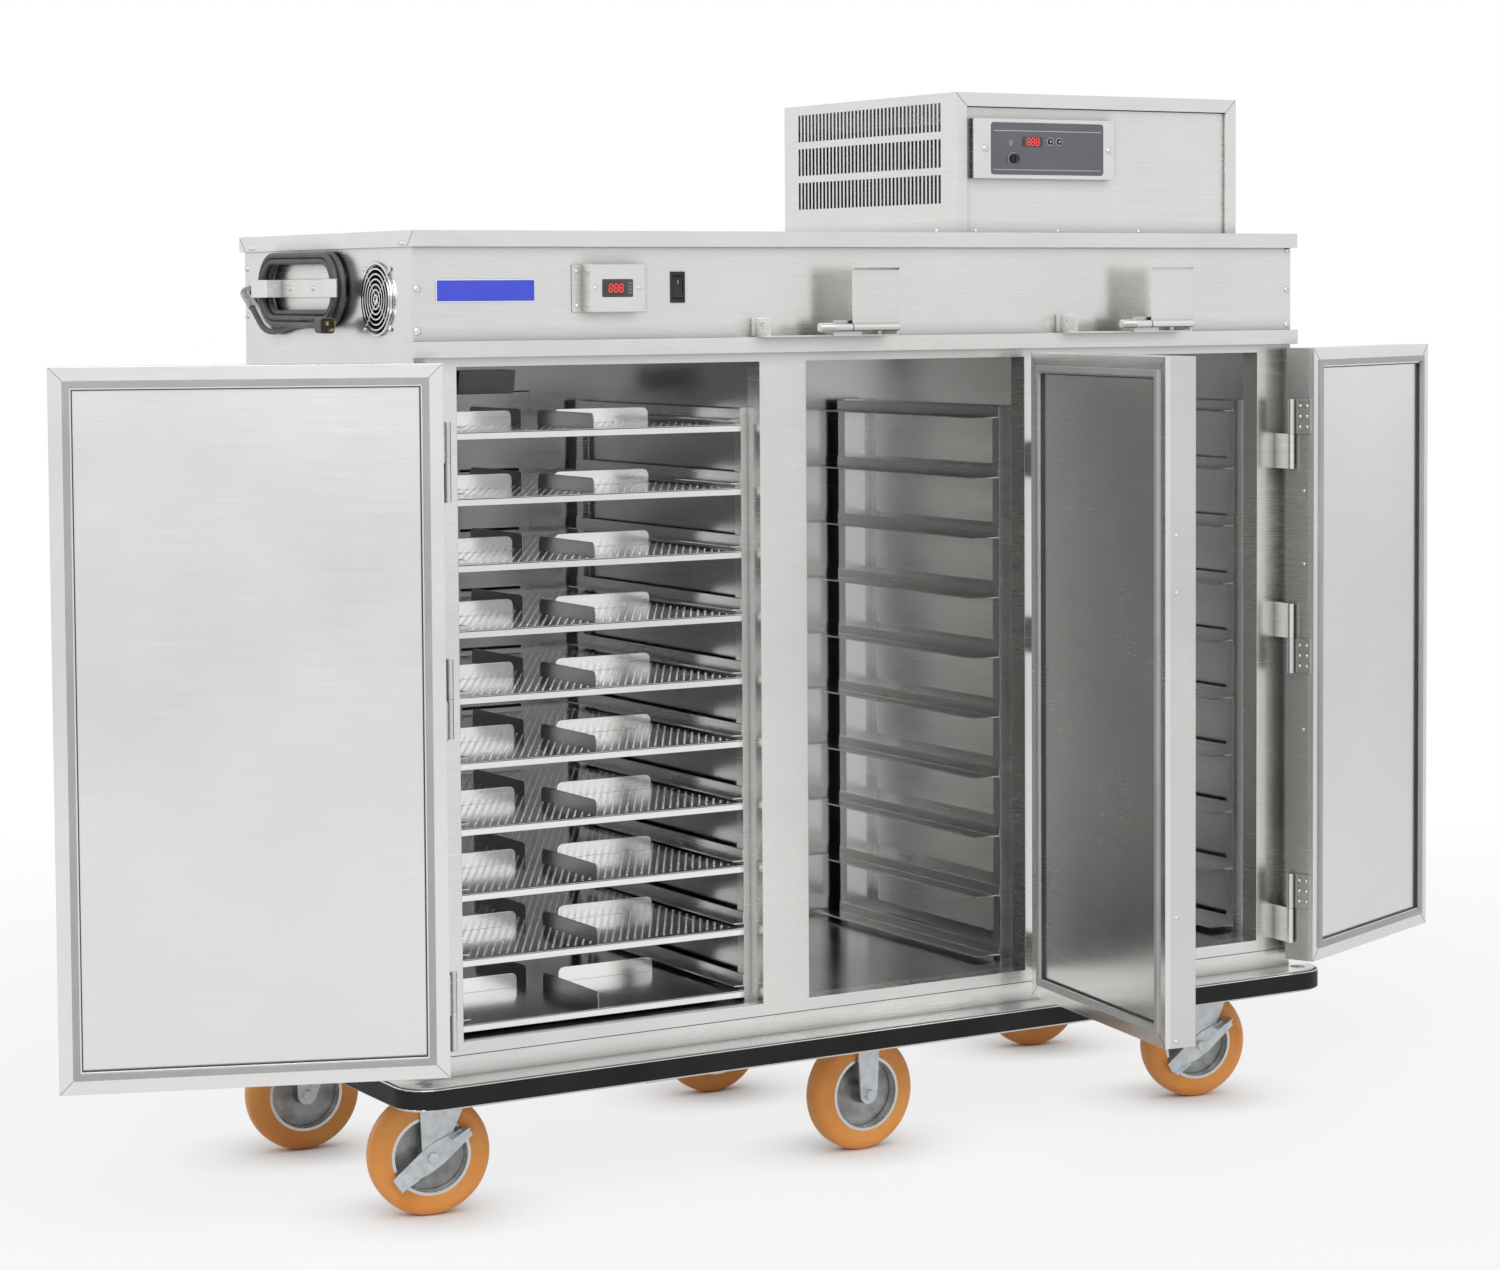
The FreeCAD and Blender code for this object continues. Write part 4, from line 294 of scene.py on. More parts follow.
def coil_point(index):
    """A point of the winding: two turns inwards by the side, and two outwards over them."""
    turn = index / turn_points
    straight, angle = turn_shape[index % turn_points]
    inwards = min(turn, coil_turns - turn)
    bend = coil_height / 2 - coil_step * inwards
    run = (coil_length - coil_height) / 2
    reach = bend if angle % 180 == 0 else bend / math.cos(math.radians(arc_step / 2))
    ahead = run * straight + reach * math.sin(math.radians(angle))
    above = -reach * math.cos(math.radians(angle))
    over = min(max((turn - (coil_turns / 2 - 0.25)) / 0.5, 0), 1)
    out = layer_inner + (layer_outer - layer_inner) * over
    return at(out, coil_middle_y - ahead, coil_middle_z + above)


route = [grip_end, grip_end + grip_heading * 0.010, at(-0.0105, 0.5654, 1.4367), at(-0.008, 0.4536, 1.4565)]
route += [coil_point(index) for index in range(coil_turns * turn_points)]
route += [at(-0.0215, 0.382, 1.4563), at(-0.0345, 0.344, 1.456), at(-0.038, 0.316, 1.456),
          plug_end + Vector((0, 0.008, 0)), plug_end]
cord_curve = wire_curve("power_cord_line", 0, roundness=5, capped=True)
draw_line(cord_curve, "NURBS", route).resolution_u = 5
centreline = bpy.data.meshes.new_from_object(bpy.data.objects.new("cord_centreline", cord_curve.copy()))
cord_curve.bevel_depth = cord_radius
power_cord = new_piece("wound_cord", cord_curve)

jacket = Finish("cord_jacket", Roughness=0.5)
jacket_grain = jacket.noise(scale=900, detail=2)
jacket_tone = jacket.colours(jacket.noise(scale=30), (0.075, 0.075, 0.078), (0.115, 0.115, 0.118))
cord_jacket = jacket.wear(Base_Color=jacket_tone, Normal=jacket.bump(jacket_grain, 0.0002),
                          Roughness=jacket.spread(jacket_grain, 0.42, 0.6))
finished(power_cord, cord_jacket, "root", "grey_rubber", "power_cord")


# The grip is a sleeve of bare wires, plaited in two directions, that tightens on the cord when pulled.
def sleeve_wire(turns, phase):
    """Points of one wire: out of the side, round the bend, and down along the cord as it narrows."""
    points = []
    steps = 44
    bend = bend_radius * math.pi / 2
    for step in range(steps + 1):
        share = step / steps
        travel = share * sleeve_length
        bent = min(travel / bend, 1.0)
        lean = bent * math.pi / 2
        outwards = Vector((-1, 0, 0)) * math.cos(lean) + grip_heading * math.sin(lean)
        middle = at(0, 0.668, 1.514) + Vector((-1, 0, 0)) * bend_radius * math.sin(lean)
        middle += grip_heading * (bend_radius * (1 - math.cos(lean)) + max(travel - bend, 0))
        beside = outwards.cross(sleeve_side).normalized()
        reach = sleeve_wide + (sleeve_narrow - sleeve_wide) * max(share - 0.35, 0) / 0.65
        angle = phase + turns * 2 * math.pi * share
        points.append(middle + reach * (math.cos(angle) * sleeve_side + math.sin(angle) * beside))
    return points


bend_radius = 0.0105
sleeve_side = Vector((1, 0, 0)).cross(grip_heading).normalized()
sleeve_length = bend_radius * math.pi / 2 + 0.038
sleeve_wires = 12
wire_radius, wire_turns, sleeve_wide, sleeve_narrow = 0.0006, 1.1, 0.0074, 0.0057
sleeve_curve = wire_curve("cord_sleeve_line", wire_radius, roundness=1)
for wire in range(sleeve_wires):
    for way in (-1, 1):
        draw_line(sleeve_curve, "POLY", sleeve_wire(way * wire_turns, 2 * math.pi * wire / sleeve_wires))
cord_sleeve = new_piece("cord_sleeve", sleeve_curve)
bare_wire = Finish("bare_wire", Metallic=1.0, Roughness=0.3)
wire_tone = bare_wire.colours(bare_wire.noise(scale=400), (0.34, 0.34, 0.35), (0.62, 0.62, 0.62))
finished(cord_sleeve, bare_wire.wear(Base_Color=wire_tone), "root", "grey_mesh")

# Under the plaited wires the cord itself runs on into the side, through a rubber bush.
bush_curve = wire_curve("cord_bush_line", cord_radius, roundness=4, capped=True)
draw_line(bush_curve, "NURBS", [at(0.004, 0.668, 1.514), at(-0.004, 0.668, 1.514), grip_mouth,
                                grip_mouth + grip_heading * 0.008, grip_end])
cord_bush = finished(new_piece("cord_bush", bush_curve), cord_jacket, "root", "grey_rubber", "cord_grip")


# --- Stainless sheet ---
# The cabinet is folded from sheet with a horizontal satin grain. Reflections spread across the grain,
# so they smear up and down on every upright face. Edges are rounded by the folding.
def brushed_steel(name, tone, roughness, across=620.0, directional=0.55, cloud=0.05, fold=0.0012,
                  painted_shade_reach=0.0):
    """Sheet whose fine grain runs level, with faint cloudy marks of handling, and painted shade in its crevices
    when a reach is given.
    """
    steel = Finish(name, Metallic=1.0, Anisotropic=directional, Anisotropic_Rotation=0.25)
    lines = steel.noise(stretch=(9, 9, across), scale=1.0, detail=4)
    clouds = steel.noise(scale=5.0, detail=4)
    dark = tuple(channel * (1 - cloud) for channel in tone)
    pale = tuple(min(channel * (1 + cloud), 1) for channel in tone)
    tinted = steel.colours(steel.combine("ADD", steel.combine("MULTIPLY", lines, 0.5),
                                         steel.combine("MULTIPLY", clouds, 0.5)), dark, pale)
    # Painted shade: within that reach of other surfaces the colour darkens towards 0.42 of the tone, where
    # shade falls in corners and recesses.
    if painted_shade_reach:
        painted_shade_mask = steel.add("AmbientOcclusion", {"samples": 4}, Distance=painted_shade_reach).outputs["AO"]
        painted_shade_tone = tuple(channel * 0.42 for channel in tone) + (1,)
        tinted = steel.blend(steel.spread(painted_shade_mask, 0.0, 1.0, 0.35, 0.9), painted_shade_tone, tinted)
    rounded = steel.add("Bevel", {"samples": 4}, Radius=fold).outputs["Normal"]
    satin = steel.spread(steel.combine("ADD", lines, clouds), roughness - 0.04, roughness + 0.05, 0.6, 1.4)
    tangent = steel.add("Tangent", {"direction_type": "RADIAL", "axis": "Z"}).outputs[0]
    return steel.wear(Base_Color=tinted, Roughness=satin, Tangent=tangent,
                      Normal=steel.bump(lines, 0.000012, rounded))


# Outer and pan steel carry painted shade, darkening their colour in crevices.
outer_steel = brushed_steel("outer_steel", (0.79, 0.785, 0.77), 0.25, cloud=0.08, painted_shade_reach=0.026)
dress(outer_steel, "base_platform", "outer_shell", "front_frame", "top_cover", "control_fascia",
      "thermostat_box", "unit_housing", "unit_front_panel", "unit_control_box", "frame_hinges",
      "cord_cleat", "latch_bases", "latch_paddle_middle", "latch_paddle_right")
pan_steel = brushed_steel("pan_steel", (0.71, 0.705, 0.69), 0.25, painted_shade_reach=0.02)
dress(pan_steel, "left_door_pan", "middle_door_pan", "right_door_pan")
liner_steel = brushed_steel("liner_steel", (0.54, 0.54, 0.53), 0.20, directional=0.3, cloud=0.04)
dress(liner_steel, "hot_liner", "cold_liner")
door_steel = brushed_steel("door_steel", (0.82, 0.82, 0.81), 0.24, directional=0.3, cloud=0.03)
dress(door_steel, "left_door_liner", "middle_door_liner", "right_door_liner")
rack_steel = brushed_steel("rack_steel", (0.64, 0.64, 0.63), 0.24, directional=0.2, cloud=0.06)
dress(rack_steel, "slide_racks")
shelf_steel = brushed_steel("shelf_steel", (0.93, 0.93, 0.92), 0.15, directional=0.2, cloud=0.03)
dress(shelf_steel, "tray_shelves")
divider_steel = brushed_steel("divider_steel", (0.34, 0.34, 0.335), 0.3, directional=0.2, cloud=0.05)


def moulded(name, dark, pale, roughness, grain_size=0.0008, depth=0.00008, **sockets):
    """Moulded or extruded material with a fine skin and slight variation of tone."""
    skin = Finish(name, **sockets)
    fine = skin.noise(scale=1 / grain_size, detail=2)
    broad = skin.noise(scale=9.0, detail=4)
    return skin.wear(Base_Color=skin.colours(broad, dark, pale), Normal=skin.bump(fine, depth),
                     Roughness=skin.spread(broad, roughness - 0.06, roughness + 0.08))


dress(moulded("bumper_rubber", (0.008, 0.008, 0.0085), (0.017, 0.017, 0.018), 0.5, Specular_IOR_Level=0.22),
      "bumper")
dress(moulded("wall_foam", (0.6, 0.5, 0.3), (0.72, 0.62, 0.4), 0.8), "foam_insulation")


# --- Rivets, screws and seams of the cabinet ---
# Pop rivets hold the cover's mitred corners, truss head screws the control band and the rear edge of
# both sides. Each head is a disc raised in rings, with its middle sunk.
FRONT_FACING = Matrix.Rotation(math.pi / 2, 4, "X")
LEFT_FACING = Matrix.Rotation(-math.pi / 2, 4, "Z") @ FRONT_FACING
RIGHT_FACING = Matrix.Rotation(math.pi / 2, 4, "Z") @ FRONT_FACING


def open_for_edit(piece):
    """Opens the piece for editing by itself, with all of its faces selected."""
    bpy.ops.object.select_all(action="DESELECT")
    bpy.context.view_layer.objects.active = piece
    piece.select_set(True)
    bpy.ops.object.mode_set(mode="EDIT")
    bpy.ops.mesh.select_mode(type="FACE")
    bpy.ops.mesh.select_all(action="SELECT")


def fastener_head(radius, height, sunk, corners=14):
    """The mesh of a head, lying on the floor's plane with its top up."""
    bpy.ops.object.select_all(action="DESELECT")
    bpy.ops.mesh.primitive_circle_add(vertices=corners, radius=radius, fill_type="NGON")
    head = bpy.context.object
    open_for_edit(head)
    for inwards, upwards in ((0.10, 0.5), (0.22, 0.35), (0.25, 0.15), (0.06, 0.0), (0.05, -sunk / height)):
        bpy.ops.mesh.inset(thickness=inwards * radius, depth=upwards * height)
    bpy.ops.object.mode_set(mode="OBJECT")
    mesh = head.data
    bpy.data.objects.remove(head)
    return mesh


def shaped(name, shape):
    """A piece of that bmesh, which it uses up."""
    mesh = bpy.data.meshes.new(name)
    shape.to_mesh(mesh)
    shape.free()
    return new_piece(name, mesh)


def stamped(name, template, spots):
    """One mesh with a copy of the template at each spot, turned as that spot says."""
    together = bmesh.new()
    for spot, facing in spots:
        copy = template.copy()
        copy.transform(Matrix.Translation(spot) @ facing)
        together.from_mesh(copy)
        bpy.data.meshes.remove(copy)
    return shaped(name, together)


def joined(name, pieces):
    """Several pieces as one."""
    bpy.ops.object.select_all(action="DESELECT")
    for piece in pieces:
        piece.select_set(True)
    bpy.context.view_layer.objects.active = pieces[0]
    bpy.ops.object.join()
    pieces[0].name = name
    return pieces[0]


def changed(piece, kind, **settings):
    """The active piece with a modifier of that kind applied to it."""
    change = piece.modifiers.new("change", kind)
    for setting, value in settings.items():
        setattr(change, setting, value)
    bpy.ops.object.modifier_apply(modifier=change.name)
    return piece


def rounded_plate(name, width, height, thickness, corner, edge=0.0003, segments=5):
    """A plate with rounded corners and eased edges, face up and centred on the origin."""
    bpy.ops.object.select_all(action="DESELECT")
    bpy.ops.mesh.primitive_plane_add(size=1, location=(0, 0, 0))
    plate = bpy.context.object
    plate.name = name
    open_for_edit(plate)
    bpy.ops.transform.resize(value=(width, height, 1))
    if corner:
        bpy.ops.mesh.select_mode(type="VERT")
        bpy.ops.mesh.select_all(action="SELECT")
        bpy.ops.mesh.bevel(offset=corner, segments=segments, affect="VERTICES")
    bpy.ops.object.mode_set(mode="OBJECT")
    changed(plate, "SOLIDIFY", thickness=thickness, offset=1)
    if edge:
        changed(plate, "BEVEL", width=edge, segments=2, limit_method="ANGLE")
    return plate


def put(piece, spot, facing=Matrix.Identity(4)):
    """Moves the mesh, and not its object, to its place."""
    piece.data.transform(Matrix.Translation(spot) @ facing)
    return piece


def placed_plate(name, spot, *sizes, facing=FRONT_FACING, **more):
    """A rounded plate of those sizes at its place."""
    return put(rounded_plate(name, *sizes, **more), spot, facing)


def seam_or_shadow_line(name, start, end, facing, width=0.0007, proud=0.0002):
    """A dark line between two places on a flat face, drawn for joints and for painted shadows."""
    along_seam = end - start
    line = rounded_plate(name, along_seam.length, width, proud * 2, 0, edge=0)
    flat_way = facing.to_3x3().inverted() @ along_seam
    put(line, Vector((0, 0, -proud)), Matrix.Rotation(math.atan2(flat_way.y, flat_way.x), 4, "Z"))
    return put(line, (start + end) / 2, facing)


def fastened(name, head, spots, body="root"):
    """One piece with that head at each spot."""
    finished(stamped(name, head, spots), screw_steel, body, "steel")


screw_steel = brushed_steel("screw_steel", (0.72, 0.72, 0.70), 0.22, directional=0.0, fold=0.0003)
shadow_line = moulded("shadow_line", (0.02, 0.02, 0.02), (0.045, 0.045, 0.045), 0.6)
rivet = fastener_head(0.0042, 0.0018, 0.0008)
screw = fastener_head(0.0062, 0.0026, 0.0012, corners=18)

cabinet_width = right_x - left_x
cover_low, cover_high = (corner.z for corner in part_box("top_cover"))
cover_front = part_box("top_cover")[0].y - front_y
cover_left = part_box("top_cover")[0].x - left_x
cover_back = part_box("top_cover")[1].y - front_y
hem_middle = cover_high - 0.0205
spots = [(at(0.008, 0, height), FRONT_FACING) for height in (1.514, 1.4475)]
spots += [(at(cabinet_width - 0.008, 0, height), FRONT_FACING) for height in (1.577, 1.505, 1.441)]
for side, facing in ((0.0, LEFT_FACING), (cabinet_width, RIGHT_FACING)):
    for height in (1.552, 1.470, 1.20, 0.90, 0.60, 0.33):
        spots.append((at(side, 0.676, height), facing))
fastened("cabinet_screws", screw, spots)

spots = []
cover_sides = ((cover_left, LEFT_FACING), (cabinet_width - cover_left, RIGHT_FACING))
for side, facing in cover_sides:
    for depth in (0.0245, 0.0365, 0.6355, 0.6500):
        spots.append((at(side, depth, hem_middle), facing))
for depth in (0.387, 0.483):
    spots.append((at(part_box("cord_cleat")[1].x - left_x - 0.002, depth, 1.5167), LEFT_FACING))
fastened("cover_rivets", rivet, spots)

hem = cover_high - cover_low
corner_seams = []
for side, facing in cover_sides:
    for edge, way in ((cover_front, 1), (cover_back, -1)):
        corner_seams.append(seam_or_shadow_line("mitre", at(side, edge + way * 0.002, cover_high - 0.001),
                                 at(side, edge + way * hem, cover_low + 0.001), facing))
finished(joined("cover_seams", corner_seams), shadow_line, "root", "steel")


# --- Rim and sill ---
# The platform's rim is folded sheet. Its two edges show as bright lines above and below the bumper,
# and the sill over it is a separate strip, with a lap seam along its upper edge.
bumper_low, bumper_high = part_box("bumper")
bumper_middle, bumper_half = (bumper_low + bumper_high) / 2, (bumper_high - bumper_low) / 2
edge_wire, bumper_corner, corner_steps = 0.0016, 0.056, 6
reach = bumper_corner - edge_wire - 0.0002
edge_curve = wire_curve("rim_edge_line", edge_wire, roundness=1)
for height in (bumper_low.z, bumper_high.z):
    edge_places = []
    for quarter, (way_x, way_y) in enumerate(((1, 1), (-1, 1), (-1, -1), (1, -1))):
        turn_x = bumper_middle.x + way_x * (bumper_half.x - bumper_corner)
        turn_y = bumper_middle.y + way_y * (bumper_half.y - bumper_corner)
        for step in range(corner_steps + 1):
            angle = math.pi / 2 * (quarter + step / corner_steps)
            edge_places.append((turn_x + reach * math.cos(angle), turn_y + reach * math.sin(angle), height))
    draw_line(edge_curve, "POLY", edge_places).use_cyclic_u = True
finished(new_piece("rim_edges", edge_curve), screw_steel, "root", "steel")
sill_height = 0.283
sill_seam = seam_or_shadow_line("sill_seam", at(0.004, 0, sill_height), at(cabinet_width - 0.004, 0, sill_height),
                 FRONT_FACING, width=0.0012)
finished(sill_seam, shadow_line, "root", "steel")


# --- Plug ---
# A moulded body with a ribbed strain relief, a black face, two flat blades and a round earth pin. It
# lies forwards along the side, where the last turn of the cord leaves the winding.
plug_length = 0.046
ring_points = 28


def plug_ring(shape, y, reach, power):
    """A ring of vertices about the cord's end: round at power 2 and squarer above."""
    ring = []
    for index in range(ring_points):
        angle = 2 * math.pi * index / ring_points
        ways = [math.copysign(abs(way) ** (2 / power), way) for way in (math.cos(angle), math.sin(angle))]
        ring.append(shape.verts.new(plug_end + Vector((reach * ways[0], y, reach * ways[1]))))
    return ring


plug_shape = bmesh.new()
sections = [(0.0, 0.0056, 2.0), (-0.0004, 0.0066, 2.0), (-0.0022, 0.0068, 2.0), (-0.0024, 0.0058, 2.0),
            (-0.0042, 0.0060, 2.0), (-0.0044, 0.0074, 2.0), (-0.0062, 0.0077, 2.0), (-0.0064, 0.0064, 2.0),
            (-0.0082, 0.0066, 2.0), (-0.0084, 0.0084, 2.2), (-0.0106, 0.0090, 2.4), (-0.0150, 0.0108, 3.0),
            (-0.0200, 0.0124, 4.0), (-0.0250, 0.0131, 5.0), (-0.0300, 0.0128, 5.0), (-0.0350, 0.0131, 5.5),
            (-0.0430, 0.0134, 6.0), (-0.0450, 0.0130, 6.0), (-0.0455, 0.0122, 6.0)]
rings = [plug_ring(plug_shape, *section) for section in sections]
for ring, following in zip(rings, rings[1:]):
    for index in range(ring_points):
        after = (index + 1) % ring_points
        plug_shape.faces.new((ring[index], ring[after], following[after], following[index]))
plug_shape.faces.new(rings[0])
plug_shape.faces.new(rings[-1])
bmesh.ops.recalc_face_normals(plug_shape, faces=plug_shape.faces)
plug_body = finished(shaped("plug_body", plug_shape), cord_jacket, "root", "grey_plastic", "cord_plug")
face_y = -plug_length
plug_face = placed_plate("plug_face", plug_end + Vector((0, face_y + 0.0012, 0)), 0.0228, 0.0228, 0.0012, 0.004)
plug_black = moulded("plug_black", (0.01, 0.01, 0.01), (0.02, 0.02, 0.02), 0.4)
finished(plug_face, plug_black, "root", "black_plastic")
brass = Finish("blade_brass", Metallic=1.0, Roughness=0.28)
brass_tone = brass.colours(brass.noise(scale=200), (0.52, 0.40, 0.20), (0.70, 0.56, 0.30))
blade_brass = brass.wear(Base_Color=brass_tone)
prongs = []
for way in (-1, 1):
    blade = rounded_plate("blade", 0.017, 0.0064, 0.0016, 0.0008)
    put(blade, Vector((0, 0, -0.0008)))
    prongs.append(put(blade, plug_end + Vector((way * 0.006, face_y - 0.0085, 0.0032)), LEFT_FACING))
bpy.ops.object.select_all(action="DESELECT")
bpy.ops.mesh.primitive_cylinder_add(vertices=18, radius=0.0024, depth=0.020)
prongs.append(put(bpy.context.object, plug_end + Vector((0, face_y - 0.010, -0.007)), FRONT_FACING))
plug_prongs = finished(joined("plug_prongs", prongs), blade_brass, "root", "grey_plastic")


# --- Badge ---
# A blank plate of blue enamel with a pale raised rim. It is stamped from thin sheet and glued to the
# left end of the control band.
badge_left, badge_right, badge_low, badge_high = 0.040, 0.217, 1.4925, 1.5297
badge_middle = at((badge_left + badge_right) / 2, 0, (badge_low + badge_high) / 2)
badge_width, badge_height = badge_right - badge_left, badge_high - badge_low
pale_enamel = moulded("pale_enamel", (0.70, 0.72, 0.78), (0.78, 0.80, 0.84), 0.28)
blue_enamel = moulded("blue_enamel", (0.030, 0.052, 0.58), (0.040, 0.066, 0.68), 0.22, Coat_Weight=0.5)
for name, less, thickness, corner, enamel in (("badge_rim", 0, 0.0010, 0.0025, pale_enamel),
                                              ("badge_field", 0.004, 0.0013, 0.0018, blue_enamel)):
    plate = placed_plate(name, badge_middle, badge_width - less, badge_height - less, thickness, corner)
    finished(plate, enamel, "root", "steel")


# --- Displays ---
# Red seven segment figures behind a smoked lens, in the thermostat box and in the cooling unit's
# overlay. Each figure is made of seven lit bars, and the lens is moulded.
def figure_mesh(height, slant=0.1):
    """One seven segment figure with all of its bars, face up, its foot at the origin."""
    bar_width = height * 0.11
    bar_length = height * 0.40
    bars = []
    for x, y, upright in ((0, 0, False), (0, 1, False), (0, 2, False), (-0.5, 0.5, True), (0.5, 0.5, True),
                          (-0.5, 1.5, True), (0.5, 1.5, True)):
        bar = rounded_plate("bar", bar_length, bar_width, 0.0003, bar_width * 0.45, edge=0, segments=1)
        turned_bar = Matrix.Rotation(math.pi / 2 if upright else 0, 4, "Z")
        put(bar, Vector((x * height / 2, y * height / 2, 0)), turned_bar)
        bars.append(bar)
    figure = joined("figure", bars)
    for vertex in figure.data.vertices:
        vertex.co.x += vertex.co.y * slant
    mesh = figure.data
    bpy.data.objects.remove(figure)
    return mesh


smoked_lens = moulded("smoked_lens", (0.012, 0.008, 0.008), (0.02, 0.012, 0.012), 0.12, Coat_Weight=1.0)
lit = Finish("lit_figures", Roughness=0.4, Emission_Strength=0.85)
lit_tone = lit.colours(lit.noise(scale=500), (1.0, 0.012, 0.014), (1.0, 0.05, 0.05))
lit_figures = lit.wear(Base_Color=lit_tone, Emission_Color=lit_tone)


def display(name, middle, width, height, figures, figure_height):
    """A smoked lens with its figures, facing the front."""
    lens = placed_plate(f"{name}_lens", middle, width, height, 0.0012, height * 0.14)
    finished(lens, smoked_lens, "root", "black_plastic")
    figure = figure_mesh(figure_height)
    pitch = figure_height * 0.78
    first = -pitch * (figures - 1) / 2
    row = [(middle + Vector((first + pitch * index, -0.0011, -figure_height / 2)), FRONT_FACING)
           for index in range(figures)]
    finished(stamped(f"{name}_figures", figure, row), lit_figures, "root", "black_plastic")


# --- Thermostat box ---
# A folded steel box with flanges, screwed to the control band. Its display and four rubber keys sit in
# a black moulded bezel that snaps into the window.
box_left, box_right, box_low, box_high = 0.302, 0.402, 1.4755, 1.5525
box_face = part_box("thermostat_box")[0].y - front_y
box_x, box_z = (box_left + box_right) / 2, (box_low + box_high) / 2
surround = placed_plate("thermostat_bezel", at(box_x, box_face + 0.001, box_z), 0.0565, 0.0285, 0.0013, 0.004)
bezel_plastic = moulded("bezel_plastic", (0.05, 0.05, 0.052), (0.075, 0.075, 0.078), 0.4)
finished(surround, bezel_plastic, "root", "black_plastic")
display("thermostat", at(box_x - 0.004, box_face, box_z), 0.038, 0.021, 3, 0.0125)
keys = [placed_plate("key", at(box_x + 0.0225, box_face, box_z + offset), 0.007, 0.0032, 0.0009, 0.0006)
        for offset in (-0.0075, -0.0025, 0.0025, 0.0075)]
finished(joined("thermostat_keys", keys), moulded("key_grey", (0.16, 0.16, 0.16), (0.2, 0.2, 0.2), 0.45),
         "root", "black_plastic")
small_screw = fastener_head(0.0034, 0.0018, 0.0009)
flange_face = -0.002
spots = [(at(box_x + side * 0.0400, box_face, box_z), FRONT_FACING) for side in (-1, 1)]
spots += [(at(box_x + side * 0.0600, flange_face, box_z + up * 0.0280), FRONT_FACING)
          for side in (-1, 1) for up in (-1, 1)]
fastened("thermostat_screws", small_screw, spots)


# --- Rocker switch ---
# A black moulded rocker in a snap-in bezel, which fills a hole in the control band. A pale mark is
# printed on its upper half.
black_plastic = moulded("black_plastic", (0.008, 0.008, 0.008), (0.018, 0.018, 0.018), 0.32)
dress(black_plastic, "switch_body", "rocker_switch")
print_white = moulded("print_white", (0.62, 0.62, 0.64), (0.72, 0.72, 0.74), 0.5)
upper_half = Matrix.Rotation(math.radians(10.3), 4, "X") @ FRONT_FACING
rocker_mark = placed_plate("rocker_mark", at(0.48025, -0.0014, 1.5235), 0.0012, 0.0065, 0.0004, 0,
                           facing=upper_half)
finished(rocker_mark, print_white, "rocker", "black_plastic")


# --- Cooling fan of the electric compartment ---
# Rings of bright plated wire are welded to two crossed bars and screwed over the hole in the left
# side. The frame and the rotor of the fan behind them are moulded in black plastic.
plated = Finish("plated_wire", Metallic=1.0)
plated_clouds = plated.noise(scale=60)
dress(plated.wear(Base_Color=plated.colours(plated_clouds, (0.72, 0.72, 0.74), (0.86, 0.86, 0.87)),
                  Roughness=plated.spread(plated_clouds, 0.1, 0.2)), "fan_guard")
dress(black_plastic, "fan_frame", "fan_rotor")
guard_low, guard_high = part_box("fan_guard")
guard_middle = (guard_low + guard_high) / 2
screw_reach = 0.0483
spots = [(Vector((left_x - 0.0024, guard_middle.y + side * screw_reach, guard_middle.z + up * screw_reach)),
          LEFT_FACING) for side in (-1, 1) for up in (-1, 1)]
fastened("guard_screws", small_screw, spots)


# --- Doors ---
# Insulated doors on three riveted hinges each: an outer pan, a bright inner liner with mitred edges,
# and a grey vinyl gasket round the liner's panel. A painted shadow line is drawn round the panel too.
dress(moulded("gasket_vinyl", (0.36, 0.36, 0.355), (0.43, 0.43, 0.42), 0.42), "left_door_gasket",
      "middle_door_gasket", "right_door_gasket")
hinge_y, hinge_gap, door_inner, door_outer = -0.046, 0.009, 0.042, -0.014
door_low, door_high = 0.270, 1.398
doors = {
    # side of the pin on which the door lies, width, x of the pin, angle at which it stands open
    "left_door": (1, 0.606, 0.035, -200.5),
    "middle_door": (-1, 0.480, 1.201, 81.4),
    "right_door": (-1, 0.480, 1.741, 203.2),
}
hinge_levels = ((1.241, 1), (0.866, -1), (0.367, 1))
leaf_half, rivet_shares = 0.064, (0.2, 0.5, 0.8)
BACK_FACING = Matrix.Rotation(math.pi, 4, "Z") @ FRONT_FACING
small_rivet = fastener_head(0.0034, 0.0014, 0.0007, corners=12)
edge_rivets = {"middle_door": [(-0.489, -1, (1.108, 1.015, 0.484, 0.281))],
               "right_door": [(-0.009, 1, (1.137, 1.003, 0.698))]}
